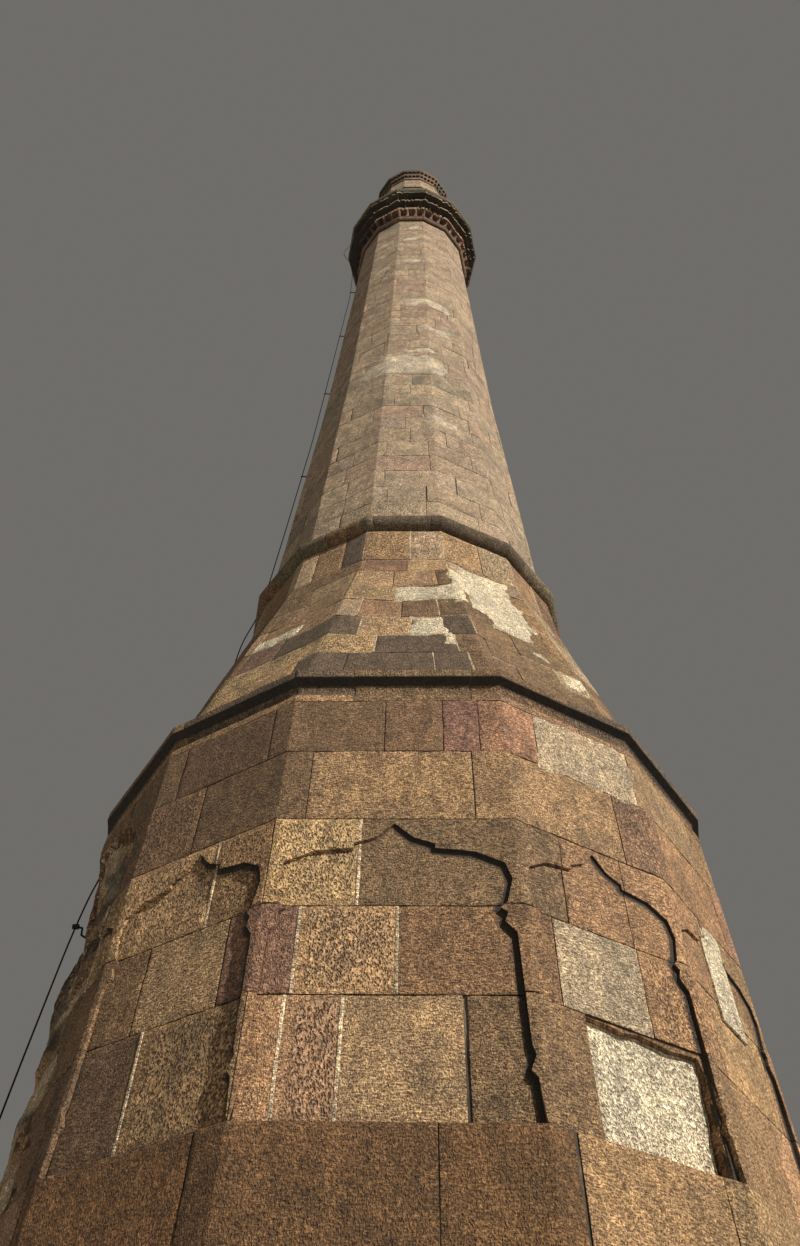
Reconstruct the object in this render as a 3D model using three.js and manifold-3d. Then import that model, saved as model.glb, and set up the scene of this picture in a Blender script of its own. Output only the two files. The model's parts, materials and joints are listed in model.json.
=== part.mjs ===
// Fourteen-sided sandstone minaret: plinth, arched base, tapering shaft, corbelled balcony, drum and spire.
// Millimetres, +Z up, origin on the axis at ground level. The front face of the base looks along -Y.
import * as THREE from 'three';
import { mergeVertices } from 'three/addons/utils/BufferGeometryUtils.js';
import Module from 'manifold-3d';

const wasm = await Module();
wasm.setup();

// Plan of the tower
const SIDES = 14;
const FRONT_FACE_ANGLE = THREE.MathUtils.degToRad(32.8);
const BASE_RADIUS = 2180;
const FOOT_RADIUS = 2230;
const BORE_RADIUS = 800;
const SEAM = 0.3;

// Levels above the ground
const FOOT_STEP = 210;
const FOOT_TOP = 260;
const PLINTH_TOP = 3520;
const ARCH_WALL_TOP = 6060;
const CORNICE_TOP = 6480;
const MID_HEIGHT = 8000;
const MID_SINK = 30;
const FACET_TOP = 8700;
const COLLAR_TOP = 9300;
const RING_TOP = 9560;
const SHAFT_BEND = 14600;
const SHAFT_TOP = 24180;
const NECK_TOP = 24560;
const TIER_HEIGHT = 400;
const TIER_COUNT = 3;
const SLAB_THICKNESS = 210;
const RAILING_HEIGHT = 900;
const DRUM_TOP = 30650;
const CAP_TOP = 31680;
const SPIRE_TOP = 37300;
const FINIAL_TOP = 38000;

// Corner radii of the upper parts
const FACET_BASE_RADIUS = 2080;
const COLLAR_BOTTOM_RADIUS = 1560;
const COLLAR_TOP_RADIUS = 1505;
const RING_RADIUS = 1590;
const SHAFT_BOTTOM_RADIUS = 1470;
const SHAFT_BEND_RADIUS = 1310;
const SHAFT_TOP_RADIUS = 1168;
const BALCONY_RADIUS = 1560;
const RAILING_RADIUS = 1360;
const DRUM_RADIUS = 950;
const DRUM_BORE = 620;
const CAP_RADIUS = 1067;
const SPIRE_RADIUS = 985;

// Blind arch on each base face: half widths as shares of the front face's half width, heights above ground
const ARCH_RECESS = 30;
const ARCH_APEX = 5060;
const ARCH_SHOULDER = 4925;
const ARCH_SPRING = 4560;

// Doorways, both on the side away from the front face
const DOOR_WIDTH = 660;
const DOOR_HEIGHT = 2250;
const BALCONY_DOOR_WIDTH = 540;
const BALCONY_DOOR_HEIGHT = 1750;

// Lightning conductor down the left side
const WIRE_ANGLE = THREE.MathUtils.degToRad(-87);
const WIRE_RADIUS = 6;
const WIRE_STANDOFF = 110;
const WIRE_SIDES = 6;
const WIRE_STEPS = 78;
const CLIP_RADIUS = 9;
const SHAFT_SLOPE = 0.035;

const SANDSTONE = { color: 0x9c7a5a, roughness: 0.95, metalness: 0 };
const DARK_SANDSTONE = { color: 0x6b5a49, roughness: 0.95, metalness: 0 };
const PALE_SANDSTONE = { color: 0xb19473, roughness: 0.95, metalness: 0 };
const LEAD = { color: 0x5d6166, roughness: 0.6, metalness: 0.6 };
const IRON = { color: 0x24231f, roughness: 0.6, metalness: 0.7 };
const GILT = { color: 0x8f7434, roughness: 0.4, metalness: 0.9 };

const part = new THREE.Group();

function addMesh(name, geometry, finish) {
  const mesh = new THREE.Mesh(geometry, new THREE.MeshStandardMaterial(finish));
  mesh.name = name;
  part.add(mesh);
}

// Corner i lies between face i and face i + 1, counted from the front face round the +X side. Corner -1 is the
// front face's left end. The front face of the base is wider than the other thirteen.
const BASE_STEP = (2 * Math.PI - FRONT_FACE_ANGLE) / (SIDES - 1);
function baseCorner(i) {
  return i < 0 ? -FRONT_FACE_ANGLE / 2 + (i + 1) * BASE_STEP : FRONT_FACE_ANGLE / 2 + i * BASE_STEP;
}
const shaftCorner = (i) => ((i + 0.5) * 2 * Math.PI) / SIDES;
const corners = (cornerAngle, first, count) => Array.from({ length: count }, (_, i) => cornerAngle(first + i));

// Point at a radius along a direction measured from the front (-Y) towards +X
const around = (radius, angle, z = 0) => new THREE.Vector3(radius * Math.sin(angle), -radius * Math.cos(angle), z);

function geometryFrom(positions, indices) {
  const geometry = new THREE.BufferGeometry();
  geometry.setAttribute('position', new THREE.Float32BufferAttribute(positions, 3));
  geometry.setIndex(indices);
  return geometry;
}

// Sweeps a closed profile of [radius, z] points through the corner angles. A full turn closes on itself. A segment
// ends in flat radial joints that stand back by half a seam.
function polygonSweep(profile, angles, fullTurn = false) {
  const contour = profile.map(([radius, z]) => new THREE.Vector2(radius, z));
  if (THREE.ShapeUtils.isClockWise(contour)) contour.reverse();
  const positions = [];
  const indices = [];
  angles.forEach((angle, i) => {
    const along = new THREE.Vector3(Math.cos(angle), Math.sin(angle), 0);
    const setBack = fullTurn ? 0 : i === 0 ? SEAM / 2 : i === angles.length - 1 ? -SEAM / 2 : 0;
    contour.forEach(({ x, y }) => {
      positions.push(...around(x, angle, y).addScaledVector(along, setBack).toArray());
    });
  });
  const n = contour.length;
  const spans = fullTurn ? angles.length : angles.length - 1;
  for (let s = 0; s < spans; s += 1) {
    const here = s * n;
    const there = ((s + 1) % angles.length) * n;
    for (let k = 0; k < n; k += 1) {
      const next = (k + 1) % n;
      indices.push(here + k, there + k, there + next, here + k, there + next, here + next);
    }
  }
  if (!fullTurn) {
    const last = (angles.length - 1) * n;
    THREE.ShapeUtils.triangulateShape(contour, []).forEach(([a, b, c]) => {
      indices.push(a, b, c, last + a, last + c, last + b);
    });
  }
  return geometryFrom(positions, indices);
}

const fullRing = (profile, cornerAngle) => polygonSweep(profile, corners(cornerAngle, 0, SIDES), true);

function solidFrom(geometry) {
  const bare = geometry.clone();
  bare.deleteAttribute('normal');
  bare.deleteAttribute('uv');
  const merged = mergeVertices(bare, 1e-3);
  const vertProperties = new Float32Array(merged.attributes.position.array);
  const triVerts = new Uint32Array(merged.index.array);
  return new wasm.Manifold(new wasm.Mesh({ numProp: 3, vertProperties, triVerts }));
}

function geometryOf(solid) {
  const mesh = solid.getMesh();
  return geometryFrom(Array.from(mesh.vertProperties), Array.from(mesh.triVerts));
}

function cut(geometry, ...tools) {
  return geometryOf(tools.reduce((solid, tool) => solid.subtract(solidFrom(tool)), solidFrom(geometry)));
}

function join(...pieces) {
  return geometryOf(pieces.map(solidFrom).reduce((whole, piece) => whole.add(piece)));
}

function block(x0, x1, y0, y1, z0, z1) {
  const geometry = new THREE.BoxGeometry(x1 - x0, y1 - y0, z1 - z0);
  return geometry.translate((x0 + x1) / 2, (y0 + y1) / 2, (z0 + z1) / 2);
}

const wallProfile = (inner, outer, z0, z1) => [[inner, z0], [outer, z0], [outer, z1], [inner, z1]];

// Half outline of the blind arch, from the foot up to the apex: [share of the face's half width, height]
const ARCH_HALF = [
  [1.0, PLINTH_TOP], [0.972, 3700], [0.93, 3728], [0.975, 3792], [0.953, 3840], [0.935, 4390],
  [0.852, 4449], [0.88, 4500], [0.828, 4525], [0.885, ARCH_SPRING], [0.94, 4700], [0.89, 4800],
  [0.66, 4872], [0.335, 4895], [0.335, ARCH_SHOULDER], [0.16, 4965],
];

// The recess panel of one face, as a slab that lies across the outer skin of the wall
function archTool(faceAngle, halfAngle) {
  const halfWidth = BASE_RADIUS * Math.sin(halfAngle);
  const apothem = BASE_RADIUS * Math.cos(halfAngle);
  const right = ARCH_HALF.map(([share, z]) => new THREE.Vector2(share * halfWidth, z));
  const left = right.map(({ x, y }) => new THREE.Vector2(-x, y)).reverse();
  right[0].y = PLINTH_TOP - 10;
  left[left.length - 1].y = PLINTH_TOP - 10;
  const outline = new THREE.Shape([...right, new THREE.Vector2(0, ARCH_APEX), ...left]);
  const slab = new THREE.ExtrudeGeometry(outline, { depth: 200, bevelEnabled: false });
  slab.rotateX(Math.PI / 2).translate(0, -(apothem - ARCH_RECESS), 0);
  return slab.rotateZ(faceAngle);
}

// Lowest course: a footing slab that carries the walls, and the floor inside them
function addFooting() {
  const course = (radius, height) => {
    const outline = corners(baseCorner, 0, SIDES).map((angle) => {
      const { x, y } = around(radius, angle);
      return new THREE.Vector2(x, y);
    });
    return new THREE.ExtrudeGeometry(new THREE.Shape(outline), { depth: height, bevelEnabled: false });
  };
  addMesh('footing_course', join(course(FOOT_RADIUS, FOOT_STEP), course(BASE_RADIUS, FOOT_TOP)), DARK_SANDSTONE);
}

// Plinth: plain thick walling in segments, with the doorway at the back
function addPlinth() {
  const profile = wallProfile(BORE_RADIUS, BASE_RADIUS, FOOT_TOP, PLINTH_TOP);
  const segments = [['plinth_front', -2, 4], ['plinth_right', 1, 3], ['plinth_right_rear', 3, 3],
    ['plinth_left_rear', 8, 3], ['plinth_left', 10, 3]];
  segments.forEach(([name, first, count]) => {
    addMesh(name, polygonSweep(profile, corners(baseCorner, first, count)), SANDSTONE);
  });
  const half = DOOR_WIDTH / 2;
  const reach = BASE_RADIUS + 100;
  const backWall = (first, last) => polygonSweep(profile, corners(baseCorner, first, last - first + 1));
  const rear = backWall(5, 8);
  const doorway = block(-half, half, 0, reach, 0, PLINTH_TOP + 100);
  const keepLeft = block(-reach, 0, 0, reach, 0, PLINTH_TOP + 100);
  const keepRight = block(0, reach, 0, reach, 0, PLINTH_TOP + 100);
  addMesh('doorway_side_right', cut(rear, doorway, keepLeft), SANDSTONE);
  addMesh('doorway_side_left', cut(rear, doorway, keepRight), SANDSTONE);
  const overDoor = solidFrom(rear).intersect(
    solidFrom(block(-half + SEAM, half - SEAM, 0, reach, DOOR_HEIGHT, PLINTH_TOP + 100)),
  );
  addMesh('doorway_head', geometryOf(overDoor), SANDSTONE);
}

// Arched wall: one panel to each face, with its recessed ogee arch
function addArchWall() {
  const profile = wallProfile(BORE_RADIUS, BASE_RADIUS, PLINTH_TOP, ARCH_WALL_TOP);
  for (let face = 0; face < SIDES; face += 1) {
    const halfAngle = face === 0 ? FRONT_FACE_ANGLE / 2 : BASE_STEP / 2;
    const faceAngle = baseCorner(face - 1) + halfAngle;
    const wall = polygonSweep(profile, corners(baseCorner, face - 1, 2));
    addMesh(`arch_wall_${String(face).padStart(2, '0')}`, cut(wall, archTool(faceAngle, halfAngle)), SANDSTONE);
  }
}

// Cornice over the arched wall: fascia, hollow soffit, drip edge and a weathered slope
function addBaseCornice() {
  const hollow = [[BASE_RADIUS, ARCH_WALL_TOP + 60], [BASE_RADIUS - 25, ARCH_WALL_TOP + 85],
    [BASE_RADIUS - 25, ARCH_WALL_TOP + 130], [BASE_RADIUS - 5, ARCH_WALL_TOP + 170]];
  const profile = [[BORE_RADIUS, ARCH_WALL_TOP], [BASE_RADIUS, ARCH_WALL_TOP], ...hollow,
    [BASE_RADIUS + 40, ARCH_WALL_TOP + 195], [BASE_RADIUS + 40, ARCH_WALL_TOP + 260],
    [FACET_BASE_RADIUS, CORNICE_TOP], [BORE_RADIUS, CORNICE_TOP]];
  addMesh('base_cornice', fullRing(profile, baseCorner), DARK_SANDSTONE);
}

// Facetted transition: four triangles on each face meet at a sunk mid point, and the corners stand out as ridges
function addTransition() {
  const share = (MID_HEIGHT - CORNICE_TOP) / (FACET_TOP - CORNICE_TOP);
  const midApothem = (i) => {
    const halfFace = (baseCorner(i) - baseCorner(i - 1)) / 2;
    const foot = FACET_BASE_RADIUS * Math.cos(halfFace);
    return THREE.MathUtils.lerp(foot, COLLAR_BOTTOM_RADIUS * Math.cos(Math.PI / SIDES), share) - MID_SINK;
  };
  const positions = [];
  const indices = [];
  const rings = [
    (i) => around(FACET_BASE_RADIUS, baseCorner(i - 1), CORNICE_TOP),
    (i) => around(COLLAR_BOTTOM_RADIUS, shaftCorner(i - 1), FACET_TOP),
    (i) => around(midApothem(i), (shaftCorner(i - 1) + shaftCorner(i)) / 2, MID_HEIGHT),
    (i) => around(BORE_RADIUS, baseCorner(i - 1), CORNICE_TOP),
    (i) => around(BORE_RADIUS, shaftCorner(i - 1), FACET_TOP),
  ];
  rings.forEach((place) => {
    for (let i = 0; i < SIDES; i += 1) positions.push(...place(i).toArray());
  });
  const [low, high, mid, boreLow, boreHigh] = rings.map((_, r) => (i) => r * SIDES + (i % SIDES));
  for (let i = 0; i < SIDES; i += 1) {
    const j = i + 1;
    indices.push(low(i), low(j), mid(i), high(i), mid(i), high(j));
    indices.push(low(i), mid(i), high(i), low(j), high(j), mid(i));
    indices.push(boreLow(i), boreHigh(i), boreHigh(j), boreLow(i), boreHigh(j), boreLow(j));
    indices.push(low(i), boreLow(i), boreLow(j), low(i), boreLow(j), low(j));
    indices.push(high(i), high(j), boreHigh(j), high(i), boreHigh(j), boreHigh(i));
  }
  addMesh('facetted_transition', geometryFrom(positions, indices), SANDSTONE);
  const collar = [[BORE_RADIUS, FACET_TOP], [COLLAR_BOTTOM_RADIUS, FACET_TOP],
    [COLLAR_TOP_RADIUS, COLLAR_TOP], [BORE_RADIUS, COLLAR_TOP]];
  addMesh('collar_course', fullRing(collar, shaftCorner), SANDSTONE);
}

// Points of a round moulding that bulges outwards between two heights
function roll(rootRadius, crownRadius, z0, z1, steps) {
  return Array.from({ length: steps + 1 }, (_, i) => {
    const turn = (Math.PI * i) / steps;
    const bulge = (crownRadius - rootRadius) * Math.sin(turn);
    return [rootRadius + bulge, (z0 + z1) / 2 - ((z1 - z0) / 2) * Math.cos(turn)];
  });
}

function addRollRing() {
  const crown = roll(SHAFT_BOTTOM_RADIUS, RING_RADIUS, COLLAR_TOP + 15, RING_TOP - 15, 8);
  const profile = [[BORE_RADIUS, COLLAR_TOP], [SHAFT_BOTTOM_RADIUS, COLLAR_TOP], ...crown,
    [SHAFT_BOTTOM_RADIUS, RING_TOP], [BORE_RADIUS, RING_TOP]];
  addMesh('roll_ring', fullRing(profile, shaftCorner), DARK_SANDSTONE);
}

function shaftRadius(z) {
  const { lerp, inverseLerp } = THREE.MathUtils;
  return z < SHAFT_BEND
    ? lerp(SHAFT_BOTTOM_RADIUS, SHAFT_BEND_RADIUS, inverseLerp(RING_TOP, SHAFT_BEND, z))
    : lerp(SHAFT_BEND_RADIUS, SHAFT_TOP_RADIUS, inverseLerp(SHAFT_BEND, SHAFT_TOP, z));
}

// Shaft: seven tall segments of two faces each
function addShaft() {
  const profile = [[BORE_RADIUS, RING_TOP], [SHAFT_BOTTOM_RADIUS, RING_TOP], [SHAFT_BEND_RADIUS, SHAFT_BEND],
    [SHAFT_TOP_RADIUS, SHAFT_TOP], [BORE_RADIUS, SHAFT_TOP]];
  for (let k = 0; k < SIDES / 2; k += 1) {
    addMesh(`shaft_segment_${k + 1}`, polygonSweep(profile, corners(shaftCorner, 2 * k - 1, 3)), PALE_SANDSTONE);
  }
}

// Neck moulding and the stepped corbel tiers under the balcony
function addCorbels() {
  const neckRoll = roll(SHAFT_TOP_RADIUS + 15, SHAFT_TOP_RADIUS + 85, SHAFT_TOP + 20, SHAFT_TOP + 200, 6);
  const neck = [[BORE_RADIUS, SHAFT_TOP], [SHAFT_TOP_RADIUS + 15, SHAFT_TOP], ...neckRoll,
    [SHAFT_TOP_RADIUS + 15, SHAFT_TOP + 230], [SHAFT_TOP_RADIUS + 50, NECK_TOP - 30],
    [SHAFT_TOP_RADIUS + 50, NECK_TOP], [BORE_RADIUS, NECK_TOP]];
  addMesh('neck_moulding', fullRing(neck, shaftCorner), SANDSTONE);
  const reach = (BALCONY_RADIUS - 40 - (SHAFT_TOP_RADIUS + 60)) / TIER_COUNT;
  for (let tier = 0; tier < TIER_COUNT; tier += 1) {
    const z0 = NECK_TOP + tier * TIER_HEIGHT;
    const root = SHAFT_TOP_RADIUS + 60 + tier * reach;
    const profile = [[BORE_RADIUS, z0], [root, z0], [root + 0.35 * reach, z0 + 0.45 * TIER_HEIGHT],
      [root + reach, z0 + 0.78 * TIER_HEIGHT], [root + reach, z0 + TIER_HEIGHT], [BORE_RADIUS, z0 + TIER_HEIGHT]];
    addMesh(`corbel_tier_${tier + 1}`, fullRing(profile, shaftCorner), DARK_SANDSTONE);
  }
}

const SLAB_BOTTOM = NECK_TOP + TIER_COUNT * TIER_HEIGHT;
const SLAB_TOP = SLAB_BOTTOM + SLAB_THICKNESS;

// Balcony floor slab and its iron railing
function addBalcony() {
  const slab = [[DRUM_BORE, SLAB_BOTTOM], [BALCONY_RADIUS - 25, SLAB_BOTTOM], [BALCONY_RADIUS, SLAB_BOTTOM + 40],
    [BALCONY_RADIUS, SLAB_TOP], [DRUM_BORE, SLAB_TOP]];
  addMesh('balcony_slab', fullRing(slab, shaftCorner), DARK_SANDSTONE);
  const bar = (z0, z1, half) => (
    fullRing(wallProfile(RAILING_RADIUS - half, RAILING_RADIUS + half, z0, z1), shaftCorner)
  );
  const posts = corners(shaftCorner, 0, SIDES).map((angle) => {
    const post = new THREE.CylinderGeometry(20, 20, RAILING_HEIGHT, 8);
    const foot = around(RAILING_RADIUS, angle);
    return post.rotateX(Math.PI / 2).translate(foot.x, foot.y, SLAB_TOP + RAILING_HEIGHT / 2);
  });
  const railTop = SLAB_TOP + RAILING_HEIGHT - 18;
  const rails = [bar(SLAB_TOP + 80, SLAB_TOP + 105, 9), bar(railTop - 32, railTop, 22)];
  addMesh('balcony_railing', join(...rails, ...posts), IRON);
}

// Upper drum: two side walls and the piece over its doorway, which opens on the balcony at the back
function addDrum() {
  const profile = wallProfile(DRUM_BORE, DRUM_RADIUS, SLAB_TOP, DRUM_TOP);
  const half = BALCONY_DOOR_WIDTH / 2;
  const reach = DRUM_RADIUS + 50;
  const z1 = DRUM_TOP + 50;
  const ring = fullRing(profile, shaftCorner);
  const doorway = block(-half, half, 0, reach, 0, z1);
  const seam = SEAM / 2;
  addMesh('drum_wall_right', cut(ring, doorway, block(-reach, seam, -reach, reach, 0, z1)), PALE_SANDSTONE);
  addMesh('drum_wall_left', cut(ring, doorway, block(-seam, reach, -reach, reach, 0, z1)), PALE_SANDSTONE);
  const head = block(-half + SEAM, half - SEAM, 0, reach, SLAB_TOP + BALCONY_DOOR_HEIGHT, z1);
  addMesh('drum_doorway_head', geometryOf(solidFrom(ring).intersect(solidFrom(head))), PALE_SANDSTONE);
}

// Cornice of the drum, with two projecting bands
function addDrumCornice() {
  const profile = [[DRUM_BORE, DRUM_TOP], [DRUM_RADIUS + 25, DRUM_TOP], [DRUM_RADIUS + 25, DRUM_TOP + 130],
    [DRUM_RADIUS, DRUM_TOP + 150], [DRUM_RADIUS, DRUM_TOP + 420], [DRUM_RADIUS + 55, DRUM_TOP + 560],
    [DRUM_RADIUS + 55, DRUM_TOP + 720], [CAP_RADIUS, DRUM_TOP + 840], [CAP_RADIUS, CAP_TOP - 40],
    [CAP_RADIUS - 30, CAP_TOP], [DRUM_BORE, CAP_TOP]];
  addMesh('drum_cornice', fullRing(profile, shaftCorner), DARK_SANDSTONE);
}

// Spire: a fourteen-sided shell, open underneath, with a finial on its tip
function addSpire() {
  const wall = 90;
  const tipRadius = 45;
  const slope = (SPIRE_RADIUS - tipRadius) / (SPIRE_TOP - CAP_TOP - 120);
  const innerTop = SPIRE_TOP - 900;
  const innerTopRadius = tipRadius + slope * (SPIRE_TOP - innerTop) - wall;
  const profile = [[0, innerTop], [innerTopRadius, innerTop], [SPIRE_RADIUS - wall, CAP_TOP + 120],
    [SPIRE_RADIUS - wall, CAP_TOP], [SPIRE_RADIUS, CAP_TOP], [SPIRE_RADIUS, CAP_TOP + 120],
    [tipRadius, SPIRE_TOP], [0, SPIRE_TOP]];
  const points = profile.map(([radius, z]) => new THREE.Vector2(radius, z));
  const shell = new THREE.LatheGeometry(points, SIDES, Math.PI / SIDES);
  shell.rotateX(Math.PI / 2);
  addMesh('spire', geometryOf(solidFrom(shell)), LEAD);
}

function addFinial() {
  const height = FINIAL_TOP - SPIRE_TOP;
  const outline = [[0, 0], [60, 0], [60, 30], [22, 60], [22, 120], [95, 190], [118, 260], [95, 330], [22, 400],
    [22, 440], [55, 480], [66, 520], [55, 560], [16, 600], [12, height - 40], [0, height]];
  const points = outline.map(([radius, z]) => new THREE.Vector2(radius, z));
  const body = new THREE.LatheGeometry(points, 16);
  body.rotateX(Math.PI / 2).translate(0, 0, SPIRE_TOP);
  addMesh('finial', geometryOf(solidFrom(body)), GILT);
}

// Route of the conductor: [corner radius of the masonry beside it, height]
const WIRE_ROUTE = [
  [60, FINIAL_TOP - 520], [120, SPIRE_TOP - 300], [420, 35200], [SPIRE_RADIUS, CAP_TOP + 240],
  [CAP_RADIUS, CAP_TOP - 100], [CAP_RADIUS - 20, CAP_TOP - 500], [DRUM_RADIUS + 40, DRUM_TOP - 300],
  [DRUM_RADIUS + 40, 28600], [1380, 27300], [BALCONY_RADIUS, SLAB_TOP + 160], [BALCONY_RADIUS, SLAB_BOTTOM - 60],
  [1380, 25150], [SHAFT_TOP_RADIUS + 80, SHAFT_TOP], [1196, 22100], [1255, 18300], [SHAFT_BEND_RADIUS, SHAFT_BEND],
  [1390, 12100], [1465, 10000], [RING_RADIUS, RING_TOP - 130], [1580, 9000], [1740, 8250], [2020, 7000],
  [BASE_RADIUS + 40, 6300], [BASE_RADIUS + 20, 5900], [BASE_RADIUS, 4800], [BASE_RADIUS, 3200],
  [BASE_RADIUS, 1500], [BASE_RADIUS, FOOT_TOP + 90],
];
const CLIP_HEIGHTS = [1200, 3050, 5300, 10600, 13400, 16500, 19500, 22500, 29400];

function addConductor() {
  const points = WIRE_ROUTE.map(([radius, z]) => around(radius + WIRE_STANDOFF, WIRE_ANGLE, z));
  const route = new THREE.CatmullRomCurve3(points, false, 'centripetal');
  const section = new THREE.Shape(
    Array.from({ length: WIRE_SIDES }, (_, i) => {
      const turn = (2 * Math.PI * i) / WIRE_SIDES;
      return new THREE.Vector2(WIRE_RADIUS * Math.cos(turn), WIRE_RADIUS * Math.sin(turn));
    }),
  );
  const wire = new THREE.ExtrudeGeometry(section, { steps: WIRE_STEPS, bevelEnabled: false, extrudePath: route });
  const dense = route.getPoints(2000);
  const clips = CLIP_HEIGHTS.map((z) => {
    const meet = dense.reduce((best, p) => (Math.abs(p.z - z) < Math.abs(best.z - z) ? p : best));
    const reach = Math.hypot(meet.x, meet.y);
    const wall = wallReach(z);
    const clip = new THREE.CylinderGeometry(CLIP_RADIUS, CLIP_RADIUS, reach + 12 - wall, 8);
    const middle = around((reach + 12 + wall) / 2, WIRE_ANGLE, meet.z);
    return clip.rotateZ(WIRE_ANGLE).translate(middle.x, middle.y, middle.z);
  });
  addMesh('lightning_conductor', join(wire, ...clips), IRON);
}

// Distance from the axis to the end of a clip, which stops a seam short of the masonry face beside it
function wallReach(z) {
  const reach = (radius, cornerAngle, step) => {
    const turn = ((WIRE_ANGLE + 2 * Math.PI - cornerAngle(0)) % step) - step / 2;
    const face = (radius * Math.cos(step / 2)) / Math.cos(turn);
    return face + CLIP_RADIUS * (Math.abs(Math.tan(turn)) + SHAFT_SLOPE) + SEAM;
  };
  const shaftStep = (2 * Math.PI) / SIDES;
  if (z < ARCH_WALL_TOP) return reach(BASE_RADIUS, baseCorner, BASE_STEP);
  if (z > SHAFT_TOP) return reach(DRUM_RADIUS, shaftCorner, shaftStep);
  return reach(shaftRadius(z), shaftCorner, shaftStep);
}

addFooting();
addPlinth();
addArchWall();
addBaseCornice();
addTransition();
addRollRing();
addShaft();
addCorbels();
addBalcony();
addDrum();
addDrumCornice();
addSpire();
addFinial();
addConductor();

export default part;
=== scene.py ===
"""Looks of the fourteen-sided sandstone minaret: stones, mouldings, roof, materials, light and camera."""
import json
import math

import bmesh
import bpy
import numpy as np
from mathutils import Matrix, Vector

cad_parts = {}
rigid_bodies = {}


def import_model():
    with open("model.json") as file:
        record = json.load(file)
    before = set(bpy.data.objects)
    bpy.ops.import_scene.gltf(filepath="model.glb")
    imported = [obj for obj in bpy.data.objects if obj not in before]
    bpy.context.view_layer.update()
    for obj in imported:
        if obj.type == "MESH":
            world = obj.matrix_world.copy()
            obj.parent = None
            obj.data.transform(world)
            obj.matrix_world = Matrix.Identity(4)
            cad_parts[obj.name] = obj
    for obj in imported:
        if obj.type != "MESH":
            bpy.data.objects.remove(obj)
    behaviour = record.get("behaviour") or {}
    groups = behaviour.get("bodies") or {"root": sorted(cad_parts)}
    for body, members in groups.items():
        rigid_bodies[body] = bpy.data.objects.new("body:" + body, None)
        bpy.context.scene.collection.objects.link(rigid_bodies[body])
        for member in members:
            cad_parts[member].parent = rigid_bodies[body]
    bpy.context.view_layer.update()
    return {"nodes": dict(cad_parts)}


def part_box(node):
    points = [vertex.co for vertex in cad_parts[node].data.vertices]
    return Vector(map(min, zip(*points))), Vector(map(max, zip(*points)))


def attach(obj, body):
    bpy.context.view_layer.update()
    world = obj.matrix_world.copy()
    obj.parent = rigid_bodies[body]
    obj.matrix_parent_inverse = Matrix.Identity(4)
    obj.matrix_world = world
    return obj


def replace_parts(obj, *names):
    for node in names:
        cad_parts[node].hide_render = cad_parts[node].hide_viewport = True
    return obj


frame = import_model()
nodes = frame["nodes"]

# Plan of the tower, in metres and radians
SIDES = 14
FRONT_FACE_ANGLE = math.radians(32.8)
SIDE_FACE_ANGLE = (2 * math.pi - FRONT_FACE_ANGLE) / (SIDES - 1)
REAR_FACE = SIDES // 2
FOOT_RADIUS = 2.23
FOOT_COURSE_TOP = 0.21
BASE_RADIUS = 2.18
BORE_RADIUS = 0.8
FACET_BASE_RADIUS = 2.08
COLLAR_RADII = (1.56, 1.505)
RING_RADIUS = 1.59
SHAFT_RADII = (1.47, 1.31, 1.168)
SHAFT_BEND = 14.6
MID_HEIGHT = 8.0
MID_SINK = 0.03
BALCONY_RADIUS = 1.56
RAILING_RADIUS = 1.36
DRUM_RADIUS = 0.95
CAP_RADIUS = 1.067
SPIRE_RADIUS = 0.985
SPIRE_TIP_RADIUS = 0.045
TIER_COUNT = 3
TIER_ROOT = 1.228
TIER_REACH = 0.0973
DOOR_WIDTH = 0.66
DOOR_HEIGHT = 2.25
BALCONY_DOOR_WIDTH = 0.54
BALCONY_DOOR_HEIGHT = 1.75


def top(node):
    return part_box(node)[1].z


FOOT_TOP = top("footing_course")
PLINTH_TOP = top("plinth_front")
ARCH_TOP = top("arch_wall_00")
CORNICE_TOP = top("base_cornice")
FACET_TOP = top("facetted_transition")
COLLAR_TOP = top("collar_course")
RING_TOP = top("roll_ring")
SHAFT_TOP = top("shaft_segment_1")
NECK_TOP = top("neck_moulding")
SLAB_BOTTOM = top("corbel_tier_3")
SLAB_TOP = top("balcony_slab")
DRUM_TOP = top("drum_wall_right")
CAP_TOP = top("drum_cornice")
SPIRE_TOP = top("spire")
TIER_HEIGHT = (SLAB_BOTTOM - NECK_TOP) / TIER_COUNT

# Half outline of the blind arch: share of the face's half width, height
ARCH_HALF = [
    (1.0, 3.51), (0.972, 3.7), (0.93, 3.728), (0.975, 3.792), (0.953, 3.84), (0.935, 4.39), (0.852, 4.449),
    (0.88, 4.5), (0.828, 4.525), (0.885, 4.56), (0.94, 4.7), (0.89, 4.8), (0.66, 4.872), (0.335, 4.895),
    (0.335, 4.925), (0.16, 4.965),
]
ARCH_APEX = 5.06

# Stone colours
STONES = {
    "plinth": (0.205, 0.112, 0.052), "tan": (0.395, 0.255, 0.142), "ochre": (0.50, 0.33, 0.185),
    "brown": (0.29, 0.182, 0.102), "grey_brown": (0.28, 0.185, 0.105), "grey": (0.47, 0.322, 0.19),
    "pink": (0.385, 0.235, 0.148), "rose": (0.29, 0.172, 0.13), "buff": (0.5, 0.38, 0.25),
    "umber": (0.185, 0.135, 0.093), "cream": (0.6, 0.49, 0.35), "white": (0.8, 0.72, 0.56),
    "black": (0.11, 0.08, 0.06), "lichen": (0.20, 0.165, 0.105), "conglomerate": (0.52, 0.35, 0.19),
    "shaft_tan": (0.5, 0.395, 0.29), "shaft_pink": (0.48, 0.36, 0.265), "shaft_grey": (0.43, 0.345, 0.26),
    "shaft_cream": (0.68, 0.6, 0.48), "bead": (0.44, 0.27, 0.18),
}
MORTAR = (0.62, 0.52, 0.38)
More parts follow.
